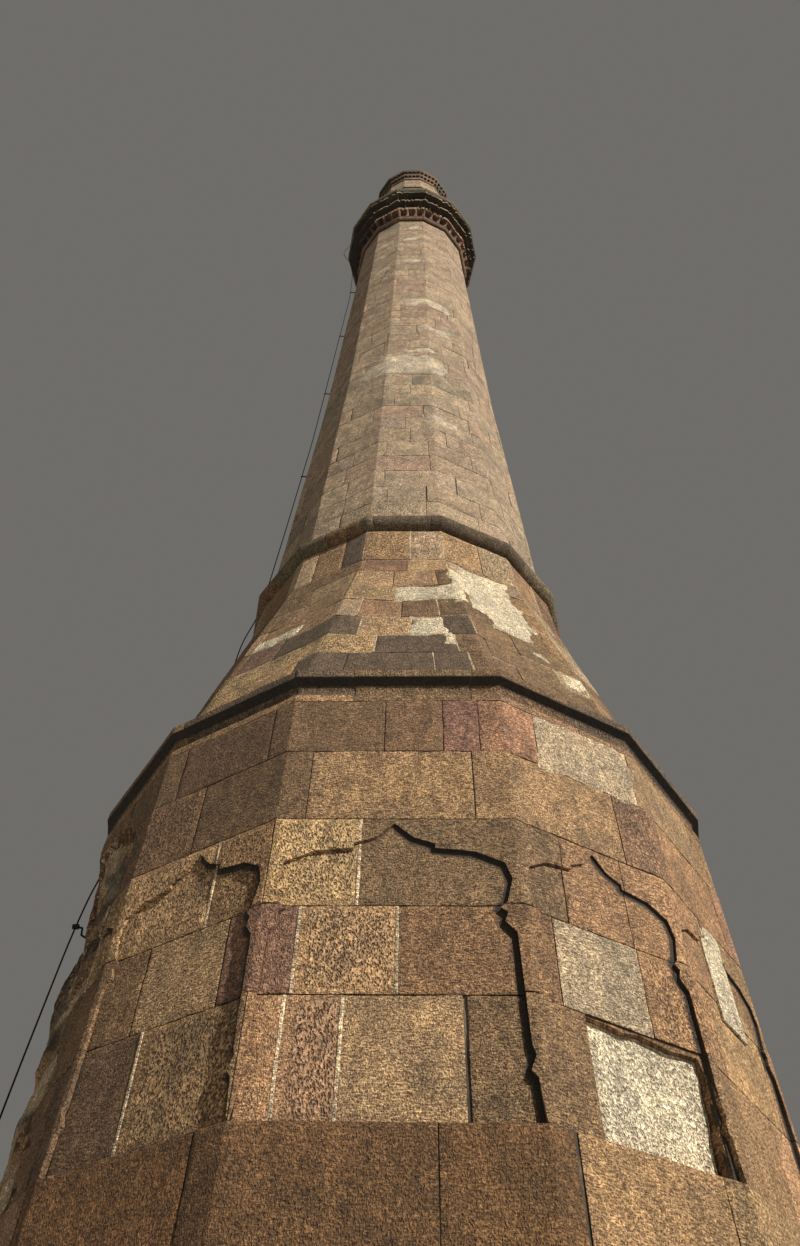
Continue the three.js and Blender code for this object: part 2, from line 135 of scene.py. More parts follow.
# Tint of the metal parts, whose materials don't use it
DARK = (0.1, 0.1, 0.1, 0.0)
# Painted shade on the hidden sides of the stones and on the deep walls of cuts, enough to blacken the open
# joints
SIDE_PAINTED_SHADE = 8.0
# How much wider an open joint is, in metres, or as a share of a base face
OPEN_JOINT = 0.011
# How far the stones' faces stand in or out of line
UNEVEN = (-0.0015, 0.0025)
# Offsets from the faces are measured a little outward, as at a face's middle
OUTWARD = 1.03


def lattice(ix, iy, seed):
    """Random value from 0 to 1 at a whole-numbered place."""
    h = (ix * 73856093) ^ (iy * 19349663) ^ (int(seed) * 83492791)
    h = ((h ^ (h >> 13)) * 1274126177) & 0xFFFFFFFF
    h = ((h ^ (h >> 15)) * 2246822519) & 0xFFFFFFFF
    return ((h ^ (h >> 16)) & 0xFFFF) / 65535.0


def noise(x, y, seed=0):
    """Smooth noise on a plane from -1 to 1, the same every run."""
    ix, iy = np.floor(x).astype(np.int64), np.floor(y).astype(np.int64)
    fx, fy = x - ix, y - iy
    fx, fy = fx * fx * (3 - 2 * fx), fy * fy * (3 - 2 * fy)
    low = lattice(ix, iy, seed) * (1 - fx) + lattice(ix + 1, iy, seed) * fx
    high = lattice(ix, iy + 1, seed) * (1 - fx) + lattice(ix + 1, iy + 1, seed) * fx
    return (low * (1 - fy) + high * fy) * 2 - 1


def rough(x, y, seed=0, octaves=3):
    """Noise in several sizes, each half as large as the last."""
    return sum(noise(x * 2**i, y * 2**i, seed + 17 * i) / 2**i for i in range(octaves))


# Rings of faces round the tower
class Ring:
    """Faces round the tower. q counts faces from the front face's left end, w runs up the profile."""

    def __init__(self, w, corners):
        self.w = np.asarray(w, float)
        self.corners = np.asarray(corners, float)
        self.count = self.corners.shape[1]

    def lengths(self, w):
        points = Ring.place(self, np.arange(self.count + 1.0), float(w), 0.0)
        return np.linalg.norm(np.diff(points, axis=0), axis=1)

    def share(self, metres, q, w):
        """Metres along the face at q, as a share of its width."""
        return metres / self.lengths(w)[math.floor(q) % self.count]

    def run(self, q, w):
        """Metres along the ring from q = 0."""
        sums = np.concatenate([[0], np.cumsum(self.lengths(w))])
        q = np.asarray(q, float)
        turns = np.floor(q / self.count)
        return turns * sums[-1] + np.interp(q - turns * self.count, np.arange(self.count + 1), sums)

    def place(self, q, w, d):
        """Points at d in front of the faces."""
        q, w, d = np.broadcast_arrays(*(np.asarray(v, float) for v in (q, w, d)))
        i = np.clip(np.searchsorted(self.w, w, "right") - 1, 0, len(self.w) - 2)
        t = ((w - self.w[i]) / (self.w[i + 1] - self.w[i]))[..., None]
        f = np.floor(q).astype(int)
        s = (q - f)[..., None]
        f, g = f % self.count, (f + 1) % self.count
        a = self.corners[i, f] * (1 - t) + self.corners[i + 1, f] * t
        b = self.corners[i, g] * (1 - t) + self.corners[i + 1, g] * t
        flat = np.array([1.0, 1.0, 0.0])
        out = [p * flat / np.linalg.norm(p * flat, axis=-1, keepdims=True) for p in (a, b)]
        return a * (1 - s) + b * s + (out[0] * (1 - s) + out[1] * s) * d[..., None] * OUTWARD


class FacetRing(Ring):
    """The transition: each face is sunk towards its mid point, with creases from there to its corners."""

    def place(self, q, w, d):
        q, w, d = np.broadcast_arrays(*(np.asarray(v, float) for v in (q, w, d)))
        up = (w - CORNICE_TOP) / (FACET_TOP - CORNICE_TOP)
        mid = (MID_HEIGHT - CORNICE_TOP) / (FACET_TOP - CORNICE_TOP)
        share = q - np.floor(q)
        width = (1 - 0.3 * up) / (1 - 0.3 * mid)
        aside = 2 * width * np.minimum(share, 1 - share)
        near = np.minimum(np.minimum(up / mid, (1 - up) / (1 - mid)), aside)
        return super().place(q, w, d - MID_SINK * np.clip(near, 0, 1))


# Corners of the base and of the shaft, from the front face's left end
BASE_ANGLES = [k * SIDE_FACE_ANGLE + FRONT_FACE_ANGLE / 2 for k in range(SIDES - 1)]
BASE_ANGLES.insert(0, -FRONT_FACE_ANGLE / 2)
SHAFT_ANGLES = [(k - 0.5) * 2 * math.pi / SIDES for k in range(SIDES)]


def corner(radius, angle, z):
    return (radius * math.sin(angle), -radius * math.cos(angle), z)


def polygon_ring(angles, profile, by_height=True):
    """Ring of plane faces from a profile of (radius, z). w is the height, or else the way along it."""
    w = [z for _, z in profile]
    if not by_height:
        w = np.concatenate([[0], np.cumsum([math.dist(a, b) for a, b in zip(profile, profile[1:])])])
    return Ring(w, [[corner(r, a, z) for a in angles] for r, z in profile])


foot_ring = polygon_ring(BASE_ANGLES, [(FOOT_RADIUS, 0.0), (FOOT_RADIUS, FOOT_COURSE_TOP)])
base_ring = polygon_ring(BASE_ANGLES, [(BASE_RADIUS, FOOT_TOP), (BASE_RADIUS, ARCH_TOP)])
recess = [(BASE_RADIUS - 0.031, PLINTH_TOP), (BASE_RADIUS - 0.015, ARCH_APEX)]
recess_ring = polygon_ring(BASE_ANGLES, recess)
transition_ring = FacetRing([CORNICE_TOP, FACET_TOP], [
    [corner(FACET_BASE_RADIUS, a, CORNICE_TOP) for a in BASE_ANGLES],
    [corner(COLLAR_RADII[0], a, FACET_TOP) for a in SHAFT_ANGLES],
])
collar_ring = polygon_ring(SHAFT_ANGLES, [(COLLAR_RADII[0], FACET_TOP), (COLLAR_RADII[1], COLLAR_TOP)])
shaft_ring = polygon_ring(SHAFT_ANGLES, list(zip(SHAFT_RADII, (RING_TOP, SHAFT_BEND, SHAFT_TOP))))
drum_ring = polygon_ring(SHAFT_ANGLES, [(DRUM_RADIUS, SLAB_TOP), (DRUM_RADIUS, DRUM_TOP)])
spire_ring = polygon_ring(SHAFT_ANGLES, [
    (SPIRE_RADIUS, CAP_TOP), (SPIRE_RADIUS, CAP_TOP + 0.12), (SPIRE_TIP_RADIUS, SPIRE_TOP)])


# Closed blocks of stone
class Block:
    """One closed block: points, faces and what its material needs at each point."""

    def __init__(self, points, quads, ngons, place, tint, feel):
        self.points, self.quads, self.ngons = points, quads, ngons
        self.place = place
        self.tint = np.array(np.broadcast_to(tint, (len(points), 4)), float)
        self.feel = np.broadcast_to(feel, len(points))

    def faces(self):
        return [tuple(face) for face in (*self.quads, *self.ngons)]


def spread(start, end, breaks, cell, edge):
    """Places from start to end: fine near both ends and near breaks, and about a cell apart between."""
    marks = [start] + [b for b in breaks if start + edge < b < end - edge] + [end]
    out = []
    for a, b in zip(marks, marks[1:]):
        near = min(edge, 0.3 * (b - a))
        inner = np.linspace(a + near, b - near, max(2, int(round((b - a - 2 * near) / cell)) + 1))
        out += [a, a + 0.35 * near] if a == start else [a]
        out += list(inner)
        out += [b - 0.35 * near] if b == end else []
    return np.array(out + [end])


def closed_faces(rows, cols):
    """Faces of a grid closed by two back rows: quads, and the two end outlines."""
    index = np.arange(rows * cols).reshape(rows, cols)
    back = rows * cols + np.arange(2 * cols).reshape(2, cols)

    def strip(*sides):
        return np.stack([side.ravel() for side in sides], axis=1)

    quads = np.concatenate([
        strip(index[:-1, :-1], index[:-1, 1:], index[1:, 1:], index[1:, :-1]),
        strip(back[0, :-1], back[1, :-1], back[1, 1:], back[0, 1:]),
        strip(index[0, 1:], index[0, :-1], back[0, :-1], back[0, 1:]),
        strip(index[-1, :-1], index[-1, 1:], back[1, 1:], back[1, :-1]),
    ])
    left = list(index[:, 0]) + [back[1, 0], back[0, 0]]
    right = list(index[::-1, -1]) + [back[0, -1], back[1, -1]]
    return quads, [left, right]


def shell(ring, Q, W, d, sink, level=None):
    """Points and faces of a grid at d in front of a ring, closed by its end rows at sink behind the faces."""
    level = W[[0, -1]] if level is None else level
    front = ring.place(Q, W, d)
    back = ring.place(Q[[0, -1]], level, -sink)
    return np.concatenate([front.reshape(-1, 3), back.reshape(-1, 3)]), *closed_faces(*Q.shape)


def surface(S, W, seed, level=None):
    """Metres along and up the face for a shell's points, and a number that sets its grain apart."""
    level = W[[0, -1]] if level is None else level
    along = np.concatenate([S, S[[0, -1]]]).ravel()
    up = np.concatenate([W, level]).ravel()
    return np.stack([along, up, np.full(len(up), seed * 0.37)], axis=1)


def from_sides(S, W, s0, s1, w0, w1):
    """Distance of places from the nearest side of a rectangle, from within."""
    return np.minimum(np.minimum(S - s0, s1 - S), np.minimum(W - w0, w1 - W))


def stone(ring, q0, q1, w0, w1, look, rng, peck=0.0, soot=0.0, proud=0.008, sink=0.02, gap=0.006, cell=0.05,
          edge=0.009, wear=0.0025, relief=0.0014, rows=None, jitter=0.002, margin=0.02, vary=0.06):
    """One stone with worn edges and a face dressed as peck says, from 0, fine tooled, to 1, deeply pecked."""
    seed = int(rng.integers(1, 9999))
    middle = (w0 + w1) / 2
    s0, s1 = ring.run([q0, q1], middle)
    if s1 - s0 < 2.2 * gap + 0.01:
        return None
    knots = np.arange(math.floor(q0 + 1e-6) + 1, math.ceil(q1 - 1e-6))
    creases = ring.run(knots, middle)
    s = spread(s0 + gap / 2, s1 - gap / 2, list(creases), cell, edge)
    q = np.interp(s, [s0, *creases, s1], [q0, *knots, q1])
    w = spread(w0 + gap / 2, w1 - gap / 2, [], cell, edge) if rows is None else np.asarray(rows)
    S, W = np.meshgrid(s, w)
    Q = np.broadcast_to(q, S.shape)
    level = W[[0, -1]]
    from_edge = from_sides(S, W, s[0], s[-1], w[0], w[-1])
    worn = wear * (0.6 + 2.2 * np.clip(noise(S * 14, W * 14, seed), 0, 1) ** 2)
    chipped = 0.010 * np.clip(noise(S * 6 + 9, W * 6, seed + 2) - 0.62, 0, 1) / 0.38
    drafted = np.clip((from_edge - 0.4 * margin) / margin, 0, 1)
    pecked = peck * 0.002 * drafted * rough(S * 24, W * 24, seed, 2)
    d = proud + relief * rough(S * 5, W * 5, seed + 1, 3) + pecked
    d = d - (worn + chipped) * np.clip(1 - from_edge / edge, 0, 1) ** 2
    if rows is None:
        W = W + jitter * noise(S * 9, W * 3, seed + 3) * (np.minimum(W - w[0], w[-1] - W) < 1e-9)
    tint = np.array(STONES[look]) * (1 + vary * rng.standard_normal())
    tint = tint * (1 + 0.3 * vary * rng.standard_normal(3))
    tints = np.tile([*np.clip(tint, 0.01, 0.95), soot], (S.size + 2 * len(q), 1))
    # The hidden sides get painted shade
    tints[S.size:, 3] = SIDE_PAINTED_SHADE
    feel = np.concatenate([(peck * (0.12 + 0.88 * drafted)).ravel(), np.zeros(2 * len(q))])
    return Block(*shell(ring, Q, W, d, sink, level), surface(S, W, seed, level), tints, feel)


def smear(ring, q0, q1, w0, w1, rng, width=0.016, height=0.0105):
    """Mortar smeared over a joint, upright where q0 equals q1 and else level."""
    seed = int(rng.integers(1, 9999))
    upright = q0 == q1
    length = w1 - w0 if upright else ring.run(q1, w0) - ring.run(q0, w0)
    along = np.linspace(0, 1, max(3, int(length / 0.03)))
    across = np.array([-0.5, -0.3, 0.3, 0.5]) * width
    A, C = np.meshgrid(along, across, indexing="ij")
    C = C * (1 + 0.35 * noise(A * length * 22, C * 400, seed))
    d = height + 0.0014 * noise(A * length * 9, C * 60, seed + 1)
    d = d - np.where(abs(across) > 0.4 * width, 0.004, 0)
    if upright:
        Q, W = q0 + C * ring.share(1.0, q0, w0), w0 + (w1 - w0) * A
    else:
        Q, W, d = (q0 + (q1 - q0) * A).T, (w0 + C).T, d.T
    tint = np.array(MORTAR) * (1 + 0.08 * rng.standard_normal())
    return Block(*shell(ring, Q, W, d, 0.008), surface(ring.run(Q, w0), W, seed), (*tint, 0.0), 0.0)


def plaster(ring, q0, q1, w0, w1, rng, look="white", cell=0.02, ragged=0.05):
    """A patch of old mortar over the stones. Outside its ragged outline it dips under their faces."""
    seed = int(rng.integers(1, 9999))
    proud, slope = 0.0145, 0.025
    s0, s1 = ring.run([q0, q1], (w0 + w1) / 2)
    s = np.linspace(s0 - ragged, s1 + ragged, int((s1 - s0 + 2 * ragged) / cell) + 2)
    low, high = max(w0 - ragged, ring.w[0] + 0.002), min(w1 + ragged, ring.w[-1] - 0.002)
    w = np.linspace(low, high, int((high - low) / cell) + 2)
    S, W = np.meshgrid(s, w)
    Q = q0 + (S - s0) / (s1 - s0) * (q1 - q0)
    inside = from_sides(S, W, s0, s1, w0, w1) + ragged * (0.9 * rough(S * 6, W * 6, seed, 3) + 0.25)
    d = 0.001 + proud * np.clip(inside / slope, 0, 1) ** 0.7 + 0.0022 * rough(S * 16, W * 16, seed + 3, 2)
    return Block(*shell(ring, Q, W, d, 0.01), surface(S, W, seed), (*STONES[look], 0.0), 0.45)


def make_mesh(name, blocks, sharp):
    """One mesh from many blocks, with the attributes tint, place and feel."""
    points = np.concatenate([b.points for b in blocks])
    loops, sizes = [], []
    shift = 0
    for b in blocks:
        loops += [(b.quads + shift).ravel()] + [np.asarray(outline) + shift for outline in b.ngons]
        sizes += [4] * len(b.quads) + [len(outline) for outline in b.ngons]
        shift += len(b.points)
    loops = np.concatenate(loops)
    mesh = bpy.data.meshes.new(name)
    mesh.vertices.add(len(points))
    mesh.vertices.foreach_set("co", points.astype(np.float32).ravel())
    mesh.loops.add(len(loops))
    mesh.loops.foreach_set("vertex_index", loops.astype(np.int32))
    mesh.polygons.add(len(sizes))
    mesh.polygons.foreach_set("loop_start", (np.cumsum(sizes) - sizes).astype(np.int32))
    mesh.update(calc_edges=True)
    mesh.validate()
    for key, kind, field in (("tint", "FLOAT_COLOR", "color"), ("place", "FLOAT_VECTOR", "vector"),
                             ("feel", "FLOAT", "value")):
        values = np.concatenate([getattr(b, key) for b in blocks])
        mesh.attributes.new(key, kind, "POINT").data.foreach_set(field, values.astype(np.float32).ravel())
    mesh.polygons.foreach_set("use_smooth", np.ones(len(sizes), bool))
    mesh.set_sharp_from_angle(angle=sharp)
    return mesh


def show(name, blocks, material=None, sharp=math.radians(38)):
    """A piece of the tower from blocks, of dressed stone where no other material is given."""
    mesh = make_mesh(name, [b for b in blocks if b is not None], sharp)
    piece = bpy.data.objects.new(name, mesh)
    bpy.context.scene.collection.objects.link(piece)
    mesh.materials.append(material or ashlar)
    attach(piece, "root")
    return piece


# Materials
class Graph:
    """A material's nodes, made with short calls."""

    def __init__(self, name):
        self.material = bpy.data.materials.new(name)
        self.material.use_nodes = True
        self.tree = self.material.node_tree
        self.tree.nodes.clear()
        self.shader = self.node("ShaderNodeBsdfPrincipled")
        out = self.node("ShaderNodeOutputMaterial")
        self.tree.links.new(self.shader.outputs["BSDF"], out.inputs["Surface"])

    def node(self, kind, inputs=(), **settings):
        made = self.tree.nodes.new(kind)
        for key, value in settings.items():
            setattr(made, key, value)
        for key, value in dict(inputs).items():
            self.set(made.inputs[key], value)
        return made

    def set(self, socket, value):
        if isinstance(value, bpy.types.NodeSocket):
            self.tree.links.new(value, socket)
        else:
            socket.default_value = value

    def math(self, operation, a, b):
        return self.node("ShaderNodeMath", {0: a, 1: b}, operation=operation).outputs[0]

    def times(self, a, b):
        return self.math("MULTIPLY", a, b)

    def plus(self, a, b):
        return self.math("ADD", a, b)

    def centred(self, value, scale):
        """A noise value about nought, times a scale."""
        return self.times(self.math("SUBTRACT", value, 0.5), scale)

    def vector(self, operation, a, b):
        return self.node("ShaderNodeVectorMath", {0: a, 1: b}, operation=operation).outputs[0]

    def scaled(self, vector, scale, turn=0.0):
        inputs = {"Vector": vector, "Scale": scale, "Rotation": (0.0, 0.0, turn)}
        return self.node("ShaderNodeMapping", inputs).outputs[0]

    def noise(self, vector, scale, detail=2.0, roughness=0.55, distortion=0.0):
        inputs = {"Vector": vector, "Scale": scale, "Detail": detail, "Roughness": roughness,
                  "Distortion": distortion}
        return self.node("ShaderNodeTexNoise", inputs).outputs["Fac"]

    def cells(self, vector, scale):
        return self.node("ShaderNodeTexVoronoi", {"Vector": vector, "Scale": scale}).outputs["Distance"]

    def span(self, value, low, high, to_low=0.0, to_high=1.0):
        inputs = {"Value": value, "From Min": low, "From Max": high, "To Min": to_low, "To Max": to_high}
        return self.node("ShaderNodeMapRange", inputs, clamp=True).outputs["Result"]

    def mix(self, fac, a, b, blend="MIX"):
        made = self.node("ShaderNodeMix", {0: fac, 6: a, 7: b}, data_type="RGBA", blend_type=blend)
        return made.outputs[2]

    def tinted(self, colour, by):
        return self.mix(1.0, colour, (*by, 1.0), "MULTIPLY")

    def shade(self, colour, value, low, high, to_low, to_high):
        """Colour times a factor that follows a value."""
        factor = self.span(value, low, high, to_low, to_high)
        grey = self.node("ShaderNodeCombineColor", {0: factor, 1: factor, 2: factor}).outputs[0]
        return self.mix(1.0, colour, grey, "MULTIPLY")

    def bump(self, height, distance, strength=1.0):
        inputs = {"Height": height, "Distance": distance, "Strength": strength}
        return self.node("ShaderNodeBump", inputs).outputs[0]

    def finish(self, colour, roughness, normal=None, metallic=0.0):
        self.set(self.shader.inputs["Base Color"], colour)
        self.set(self.shader.inputs["Roughness"], roughness)
        self.shader.inputs["Metallic"].default_value = metallic
        if normal is not None:
            self.set(self.shader.inputs["Normal"], normal)
        return self.material


def stone_material(name):
    """Dressed sandstone: each block's own colour, stains, grit, tooth marks or pecked pits with painted shade
    in their hollows and painted highlights on their ridges, and soot with painted shade from the tint's
    alpha.
    """
    g = Graph(name)
    tint = g.node("ShaderNodeAttribute", attribute_name="tint")
    place = g.node("ShaderNodeAttribute", attribute_name="place").outputs["Vector"]
    feel = g.node("ShaderNodeAttribute", attribute_name="feel").outputs["Fac"]
    smooth = g.math("SUBTRACT", 1.0, feel)
    # Stains and grain
    cloud = g.noise(place, 3.2, 6.0, 0.62, 0.3)
    streak = g.noise(g.scaled(place, (11.0, 3.6, 1.0)), 1.0, 4.0, 0.65, 0.3)
    blotch = g.noise(place, 17.0, 6.0, 0.75)
    grit = g.noise(place, 110.0, 3.0, 0.75)
    speck = g.noise(place, 62.0, 1.0, 0.5)
    colour = tint.outputs["Color"]
    grimy = g.tinted(colour, (0.74, 0.72, 0.69))
    sunny = g.tinted(colour, (1.16, 1.09, 0.98))
    colour = g.mix(g.span(cloud, 0.38, 0.62), grimy, sunny)
    colour = g.shade(colour, streak, 0.34, 0.66, 0.8, 1.18)
    colour = g.shade(colour, blotch, 0.3, 0.7, 0.62, 1.34)
    colour = g.shade(colour, grit, 0.34, 0.66, 0.42, 1.58)
    colour = g.shade(colour, speck, 0.35, 0.65, 0.84, 1.16)
    pale = g.tinted(colour, (1.6, 1.6, 1.5))
    colour = g.mix(g.times(g.span(speck, 0.62, 0.72), 0.7), colour, pale)
    # Pits of the pick on rough faces, and tooth marks on fine ones: painted shade in the pits, chips and
    # furrows, painted highlights on the ridges and crests
    sway = g.node("ShaderNodeTexNoise", {"Vector": place, "Scale": 26.0, "Detail": 2.0}).outputs["Color"]
    warp = g.vector("ADD", place, g.vector("MULTIPLY", sway, (0.035, 0.03, 0.0)))
    pecks = g.cells(g.scaled(warp, (118.0, 62.0, 1.0), 0.12), 1.0)
    wrinkle = g.noise(g.scaled(warp, (80.0, 44.0, 1.0), 0.1), 1.0, 2.0, 0.6)
    chips = g.cells(g.scaled(warp, (150.0, 100.0, 1.0), -0.4), 1.0)
    hollow = g.plus(pecks, g.centred(wrinkle, 1.1))
    pit = g.times(g.span(hollow, 0.50, 0.20), feel)
    ridge = g.times(g.span(hollow, 0.5, 0.8), feel)
    small = g.span(chips, 0.38, 0.1)
    lines = g.noise(g.scaled(place, (42.0, 150.0, 1.0), 0.03), 1.0, 2.0, 0.6, 0.4)
    teeth = g.noise(g.scaled(place, (150.0, 95.0, 1.0), 0.3), 1.0, 2.0, 0.6)
    tooled = g.times(g.plus(lines, teeth), 0.5)
    dark = g.tinted(colour, (0.26, 0.20, 0.16))
    furrow = g.times(g.span(tooled, 0.52, 0.42), smooth)
    crest = g.times(g.span(tooled, 0.52, 0.60), smooth)
    marks = [(pit, 0.95, dark), (small, 0.45, dark), (ridge, 0.45, pale), (furrow, 0.95, dark)]
    for mark, share, shown in marks + [(crest, 0.85, pale)]:
        colour = g.mix(g.times(mark, share), colour, shown)
    # Soot, and painted shade where the tint's alpha is raised
    stain = g.plus(tint.outputs["Alpha"], g.centred(cloud, 1.3))
    colour = g.mix(g.span(stain, 0.12, 0.85, 0.0, 0.93), colour, (0.03, 0.025, 0.021, 1.0))
    height = g.times(g.span(hollow, 0.08, 0.62), g.times(feel, 1.3))
    height = g.plus(height, g.times(tooled, g.span(feel, 0.0, 1.0, 1.3, 0.3)))
    height = g.math("SUBTRACT", height, g.times(small, 0.16))
    height = g.plus(height, g.times(grit, 0.3))
    return g.finish(colour, g.span(grit, 0.2, 0.8, 0.84, 0.98), g.bump(height, 0.012))


def mortar_material(name, colour, dark):
    """Lime mortar and rubble core, seen in the joints and inside."""
    g = Graph(name)
    where = g.node("ShaderNodeTexCoord").outputs["Object"]
    cloud = g.noise(where, 1.7, 4.0, 0.6)
    grit = g.noise(where, 45.0, 4.0, 0.7)
    base = g.mix(g.span(cloud, 0.46, 0.64), (*dark, 1.0), (*colour, 1.0))
    base = g.shade(base, grit, 0.3, 0.7, 0.6, 1.25)
    return g.finish(base, 0.95, g.bump(grit, 0.006, 0.8))


def metal_material(name, colour, rust, roughness, metallic):
    """Weathered metal with a patchy second colour, streaks and grit."""
    g = Graph(name)
    where = g.node("ShaderNodeTexCoord").outputs["Object"]
    cloud = g.noise(where, 5.0, 6.0, 0.7)
    grit = g.noise(where, 60.0, 3.0, 0.6)
    streak = g.noise(g.scaled(where, (14.0, 14.0, 1.1)), 1.0, 4.0, 0.65)
    base = g.mix(g.span(cloud, 0.42, 0.66), (*colour, 1.0), (*rust, 1.0))
    base = g.shade(base, streak, 0.35, 0.65, 0.7, 1.3)
    base = g.shade(base, grit, 0.3, 0.7, 0.8, 1.2)
    dull = g.span(cloud, 0.3, 0.7, roughness - 0.1, roughness + 0.15)
    return g.finish(base, dull, g.bump(grit, 0.002, 0.5), metallic)


ashlar = stone_material("dressed_sandstone")
# Dark: painted shade deep in the joints and behind the stones, as well as the mortar's grime
mortar = mortar_material("lime_mortar", (0.27, 0.22, 0.155), (0.06, 0.046, 0.033))
lead = metal_material("weathered_lead", (0.12, 0.13, 0.14), (0.2, 0.21, 0.2), 0.55, 0.5)
iron = metal_material("dark_iron", (0.02, 0.019, 0.018), (0.06, 0.03, 0.016), 0.6, 0.6)
gilt = metal_material("tarnished_gilt", (0.42, 0.27, 0.08), (0.12, 0.085, 0.04), 0.42, 0.9)


def dress(node, material):
    mesh = nodes[node].data
    mesh.materials.clear()
    mesh.materials.append(material)


for node_name in nodes:
    dress(node_name, mortar)
for node_name in ("balcony_railing", "lightning_conductor"):
    dress(node_name, iron)
dress("finial", gilt)
dress("spire", lead)


# Courses of stones
def cut_course(ring, z0, z1, first, last, rng, looks, lengths, peck_share, soot):
    """Random joints from q = first to q = last, as a plan's rows."""
    middle = (z0 + z1) / 2
    start, end = ring.run([first, last], middle)
    cuts = [start]
    while cuts[-1] < end - lengths[0] * 1.3:
        cuts.append(cuts[-1] + rng.uniform(*lengths))
    if len(cuts) > 1 and end - cuts[-1] < lengths[0] * 0.6:
        cuts.pop()
    span = np.linspace(first, last, 40 * max(1, int(last - first)))
    plan = []
    for q in np.interp(cuts, ring.run(span, middle), span):
        peck = rng.uniform(0.6, 1.0) if rng.random() < peck_share else rng.uniform(0, 0.15)
        kind = ("thin", "pale", "thin", "open", "pale")[int(rng.integers(5))]
        plan.append((q, looks[int(rng.integers(len(looks)))], peck, soot * rng.uniform(0, 2), kind))
    return plan + [(last,)]


def planned(plan):
    """Each row of a plan in full: first q, last q, colour, pecking, soot and the kind of its first joint."""
    for row, after in zip(plan, plan[1:]):
        q, look, peck, soot, kind = row + (None, None, 0.0, 0.0, "thin")[len(row):]
        yield q, after[0], look, peck, soot, kind


def bearing(points):
    """Angle of points round the tower, from the front towards the right."""
    return np.arctan2(points[:, 0], -points[:, 1])


def smear_up(ring, q, z0, z1, rng, **size):
    """Mortar smeared up a joint between two stones."""
    return smear(ring, q, q, z0 + 0.004, z1 - 0.004, rng, **size)


def lay(ring, z0, z1, plan, rng, seams=True, proud=0.008, **finish):
    """Stones of a plan, with pale mortar smeared over some joints. Open joints are wider."""
    out = []
    for q0, q1, look, peck, soot, kind in planned(plan):
        start = q0 + (ring.share(OPEN_JOINT, q0, z0) if kind == "open" else 0)
        out.append(stone(ring, start, q1, z0, z1, look, rng, peck=peck, soot=soot,
                         proud=proud + rng.uniform(*UNEVEN), **finish))
        if seams and kind == "pale":
            out.append(smear_up(ring, q0, z0, z1, rng, width=rng.uniform(0.011, 0.018)))
        if seams and q1 - q0 < 3 and rng.random() < 0.45:
            out.append(smear(ring, q0 + 0.01, q1 - 0.01, z0, z0, rng, width=0.011, height=0.0076))
    return out


def course(ring, z0, z1, first, last, rng, looks, lengths=(0.42, 0.9), peck_share=0.25, soot=0.05, **finish):
    """A course of random stones from q = first to q = last."""
    plan = cut_course(ring, z0, z1, first, last, rng, looks, lengths, peck_share, soot)
    return lay(ring, z0, z1, plan, rng, **finish)


BASE_LOOKS = ["tan", "brown", "brown", "grey_brown", "pink", "ochre", "grey_brown", "tan", "rose", "grey"]
SHAFT_LOOKS = ["shaft_tan", "shaft_pink", "shaft_grey", "shaft_tan", "shaft_pink", "shaft_tan", "shaft_tan"]

# Courses of the arched wall, from the top down
ARCH_LEVELS = [ARCH_TOP, 5.61, 5.09, 4.55, 4.08, PLINTH_TOP]
# Stones that show from the front, each up to the next joint: joint, colour, pecking, soot, kind of joint.
# What is left out is none, and a thin joint. No stone follows a joint that stands alone.
SEEN_ARCH_WALL = [
    [
        (-2.9, "brown", 0.1, 0.2), (-1.5, "grey_brown", 0, 0.25), (-0.834, "brown", 0.5, 0.35),
        (-0.145, "brown", 0.1, 0.3), (0.443, "brown", 0.1, 0.2), (0.715, "rose", 0.1, 0.05),
        (0.884, "pink", 0.2), (1.232, "cream", 0.5), (1.95, "grey", 0, 0.1), (2.75, "tan"), (3.4,),
    ],
    [
        (-2.8, "brown", 0.3, 0.2), (-1.35, "brown", 0.9, 0.15), (-0.587, "brown", 0, 0.25),
        (0.122, "tan", 0, 0.08), (0.84, "tan", 0, 0.05), (1.742, "pink", 0.7), (2.12, "tan", 0.1),
        (2.85, "pink"), (3.4,),
    ],
    [
        (-2.85, "brown", 0.8, 0.1), (-1.3, "ochre", 1, 0, "pale"), (-0.37, "tan", 1, 0.05, "pale"),
        (0.0, "ochre", 0.9), (0.358, "grey_brown", 0, 0.1, "pale"), (1.279, "tan", 0, 0.05), (1.684, "tan"),
        (2.42, "brown", 0.6), (2.62, "tan"), (3.3,),
    ],
    [
        (-2.9, "grey_brown", 0.2, 0.2), (-1.35, "brown", 0.2, 0.1), (-0.709, "grey", 0, 0.05),
        (-0.2, "rose", 0.5), (0.143, "ochre", 1, 0, "pale"), (0.517, "brown", 0, 0.05, "pale"),
        (1.17, "cream"), (1.69, "tan", 0.8), (2.25, "ochre", 0.4), (2.9, "tan"), (3.4,),
    ],
    [
        (-2.8, "brown", 0.4, 0.2), (-1.25, "brown", 0.1, 0.35), (-0.62, "tan", 1, 0, "pale"),
        (0.0, "ochre", 0.35), (0.123, "pink", 0.95, 0, "pale"), (0.329, "grey", 0.1, 0, "pale"),
        (0.756, "grey_brown", 0, 0.05, "open"), (1.29,), (1.968, "tan"), (2.7, "ochre"), (3.3,),
    ],
]
SEEN_PLINTH_TOP = [
    (-1.1, "plinth", 0.35, 0.05), (-0.16, "plinth", 0.3, 0.1), (0.657, "plinth", 0.3),
    (1.12, "tan", 0.1, 0, "open"), (1.868, "tan"), (2.6, "ochre"), (3.3,),
]


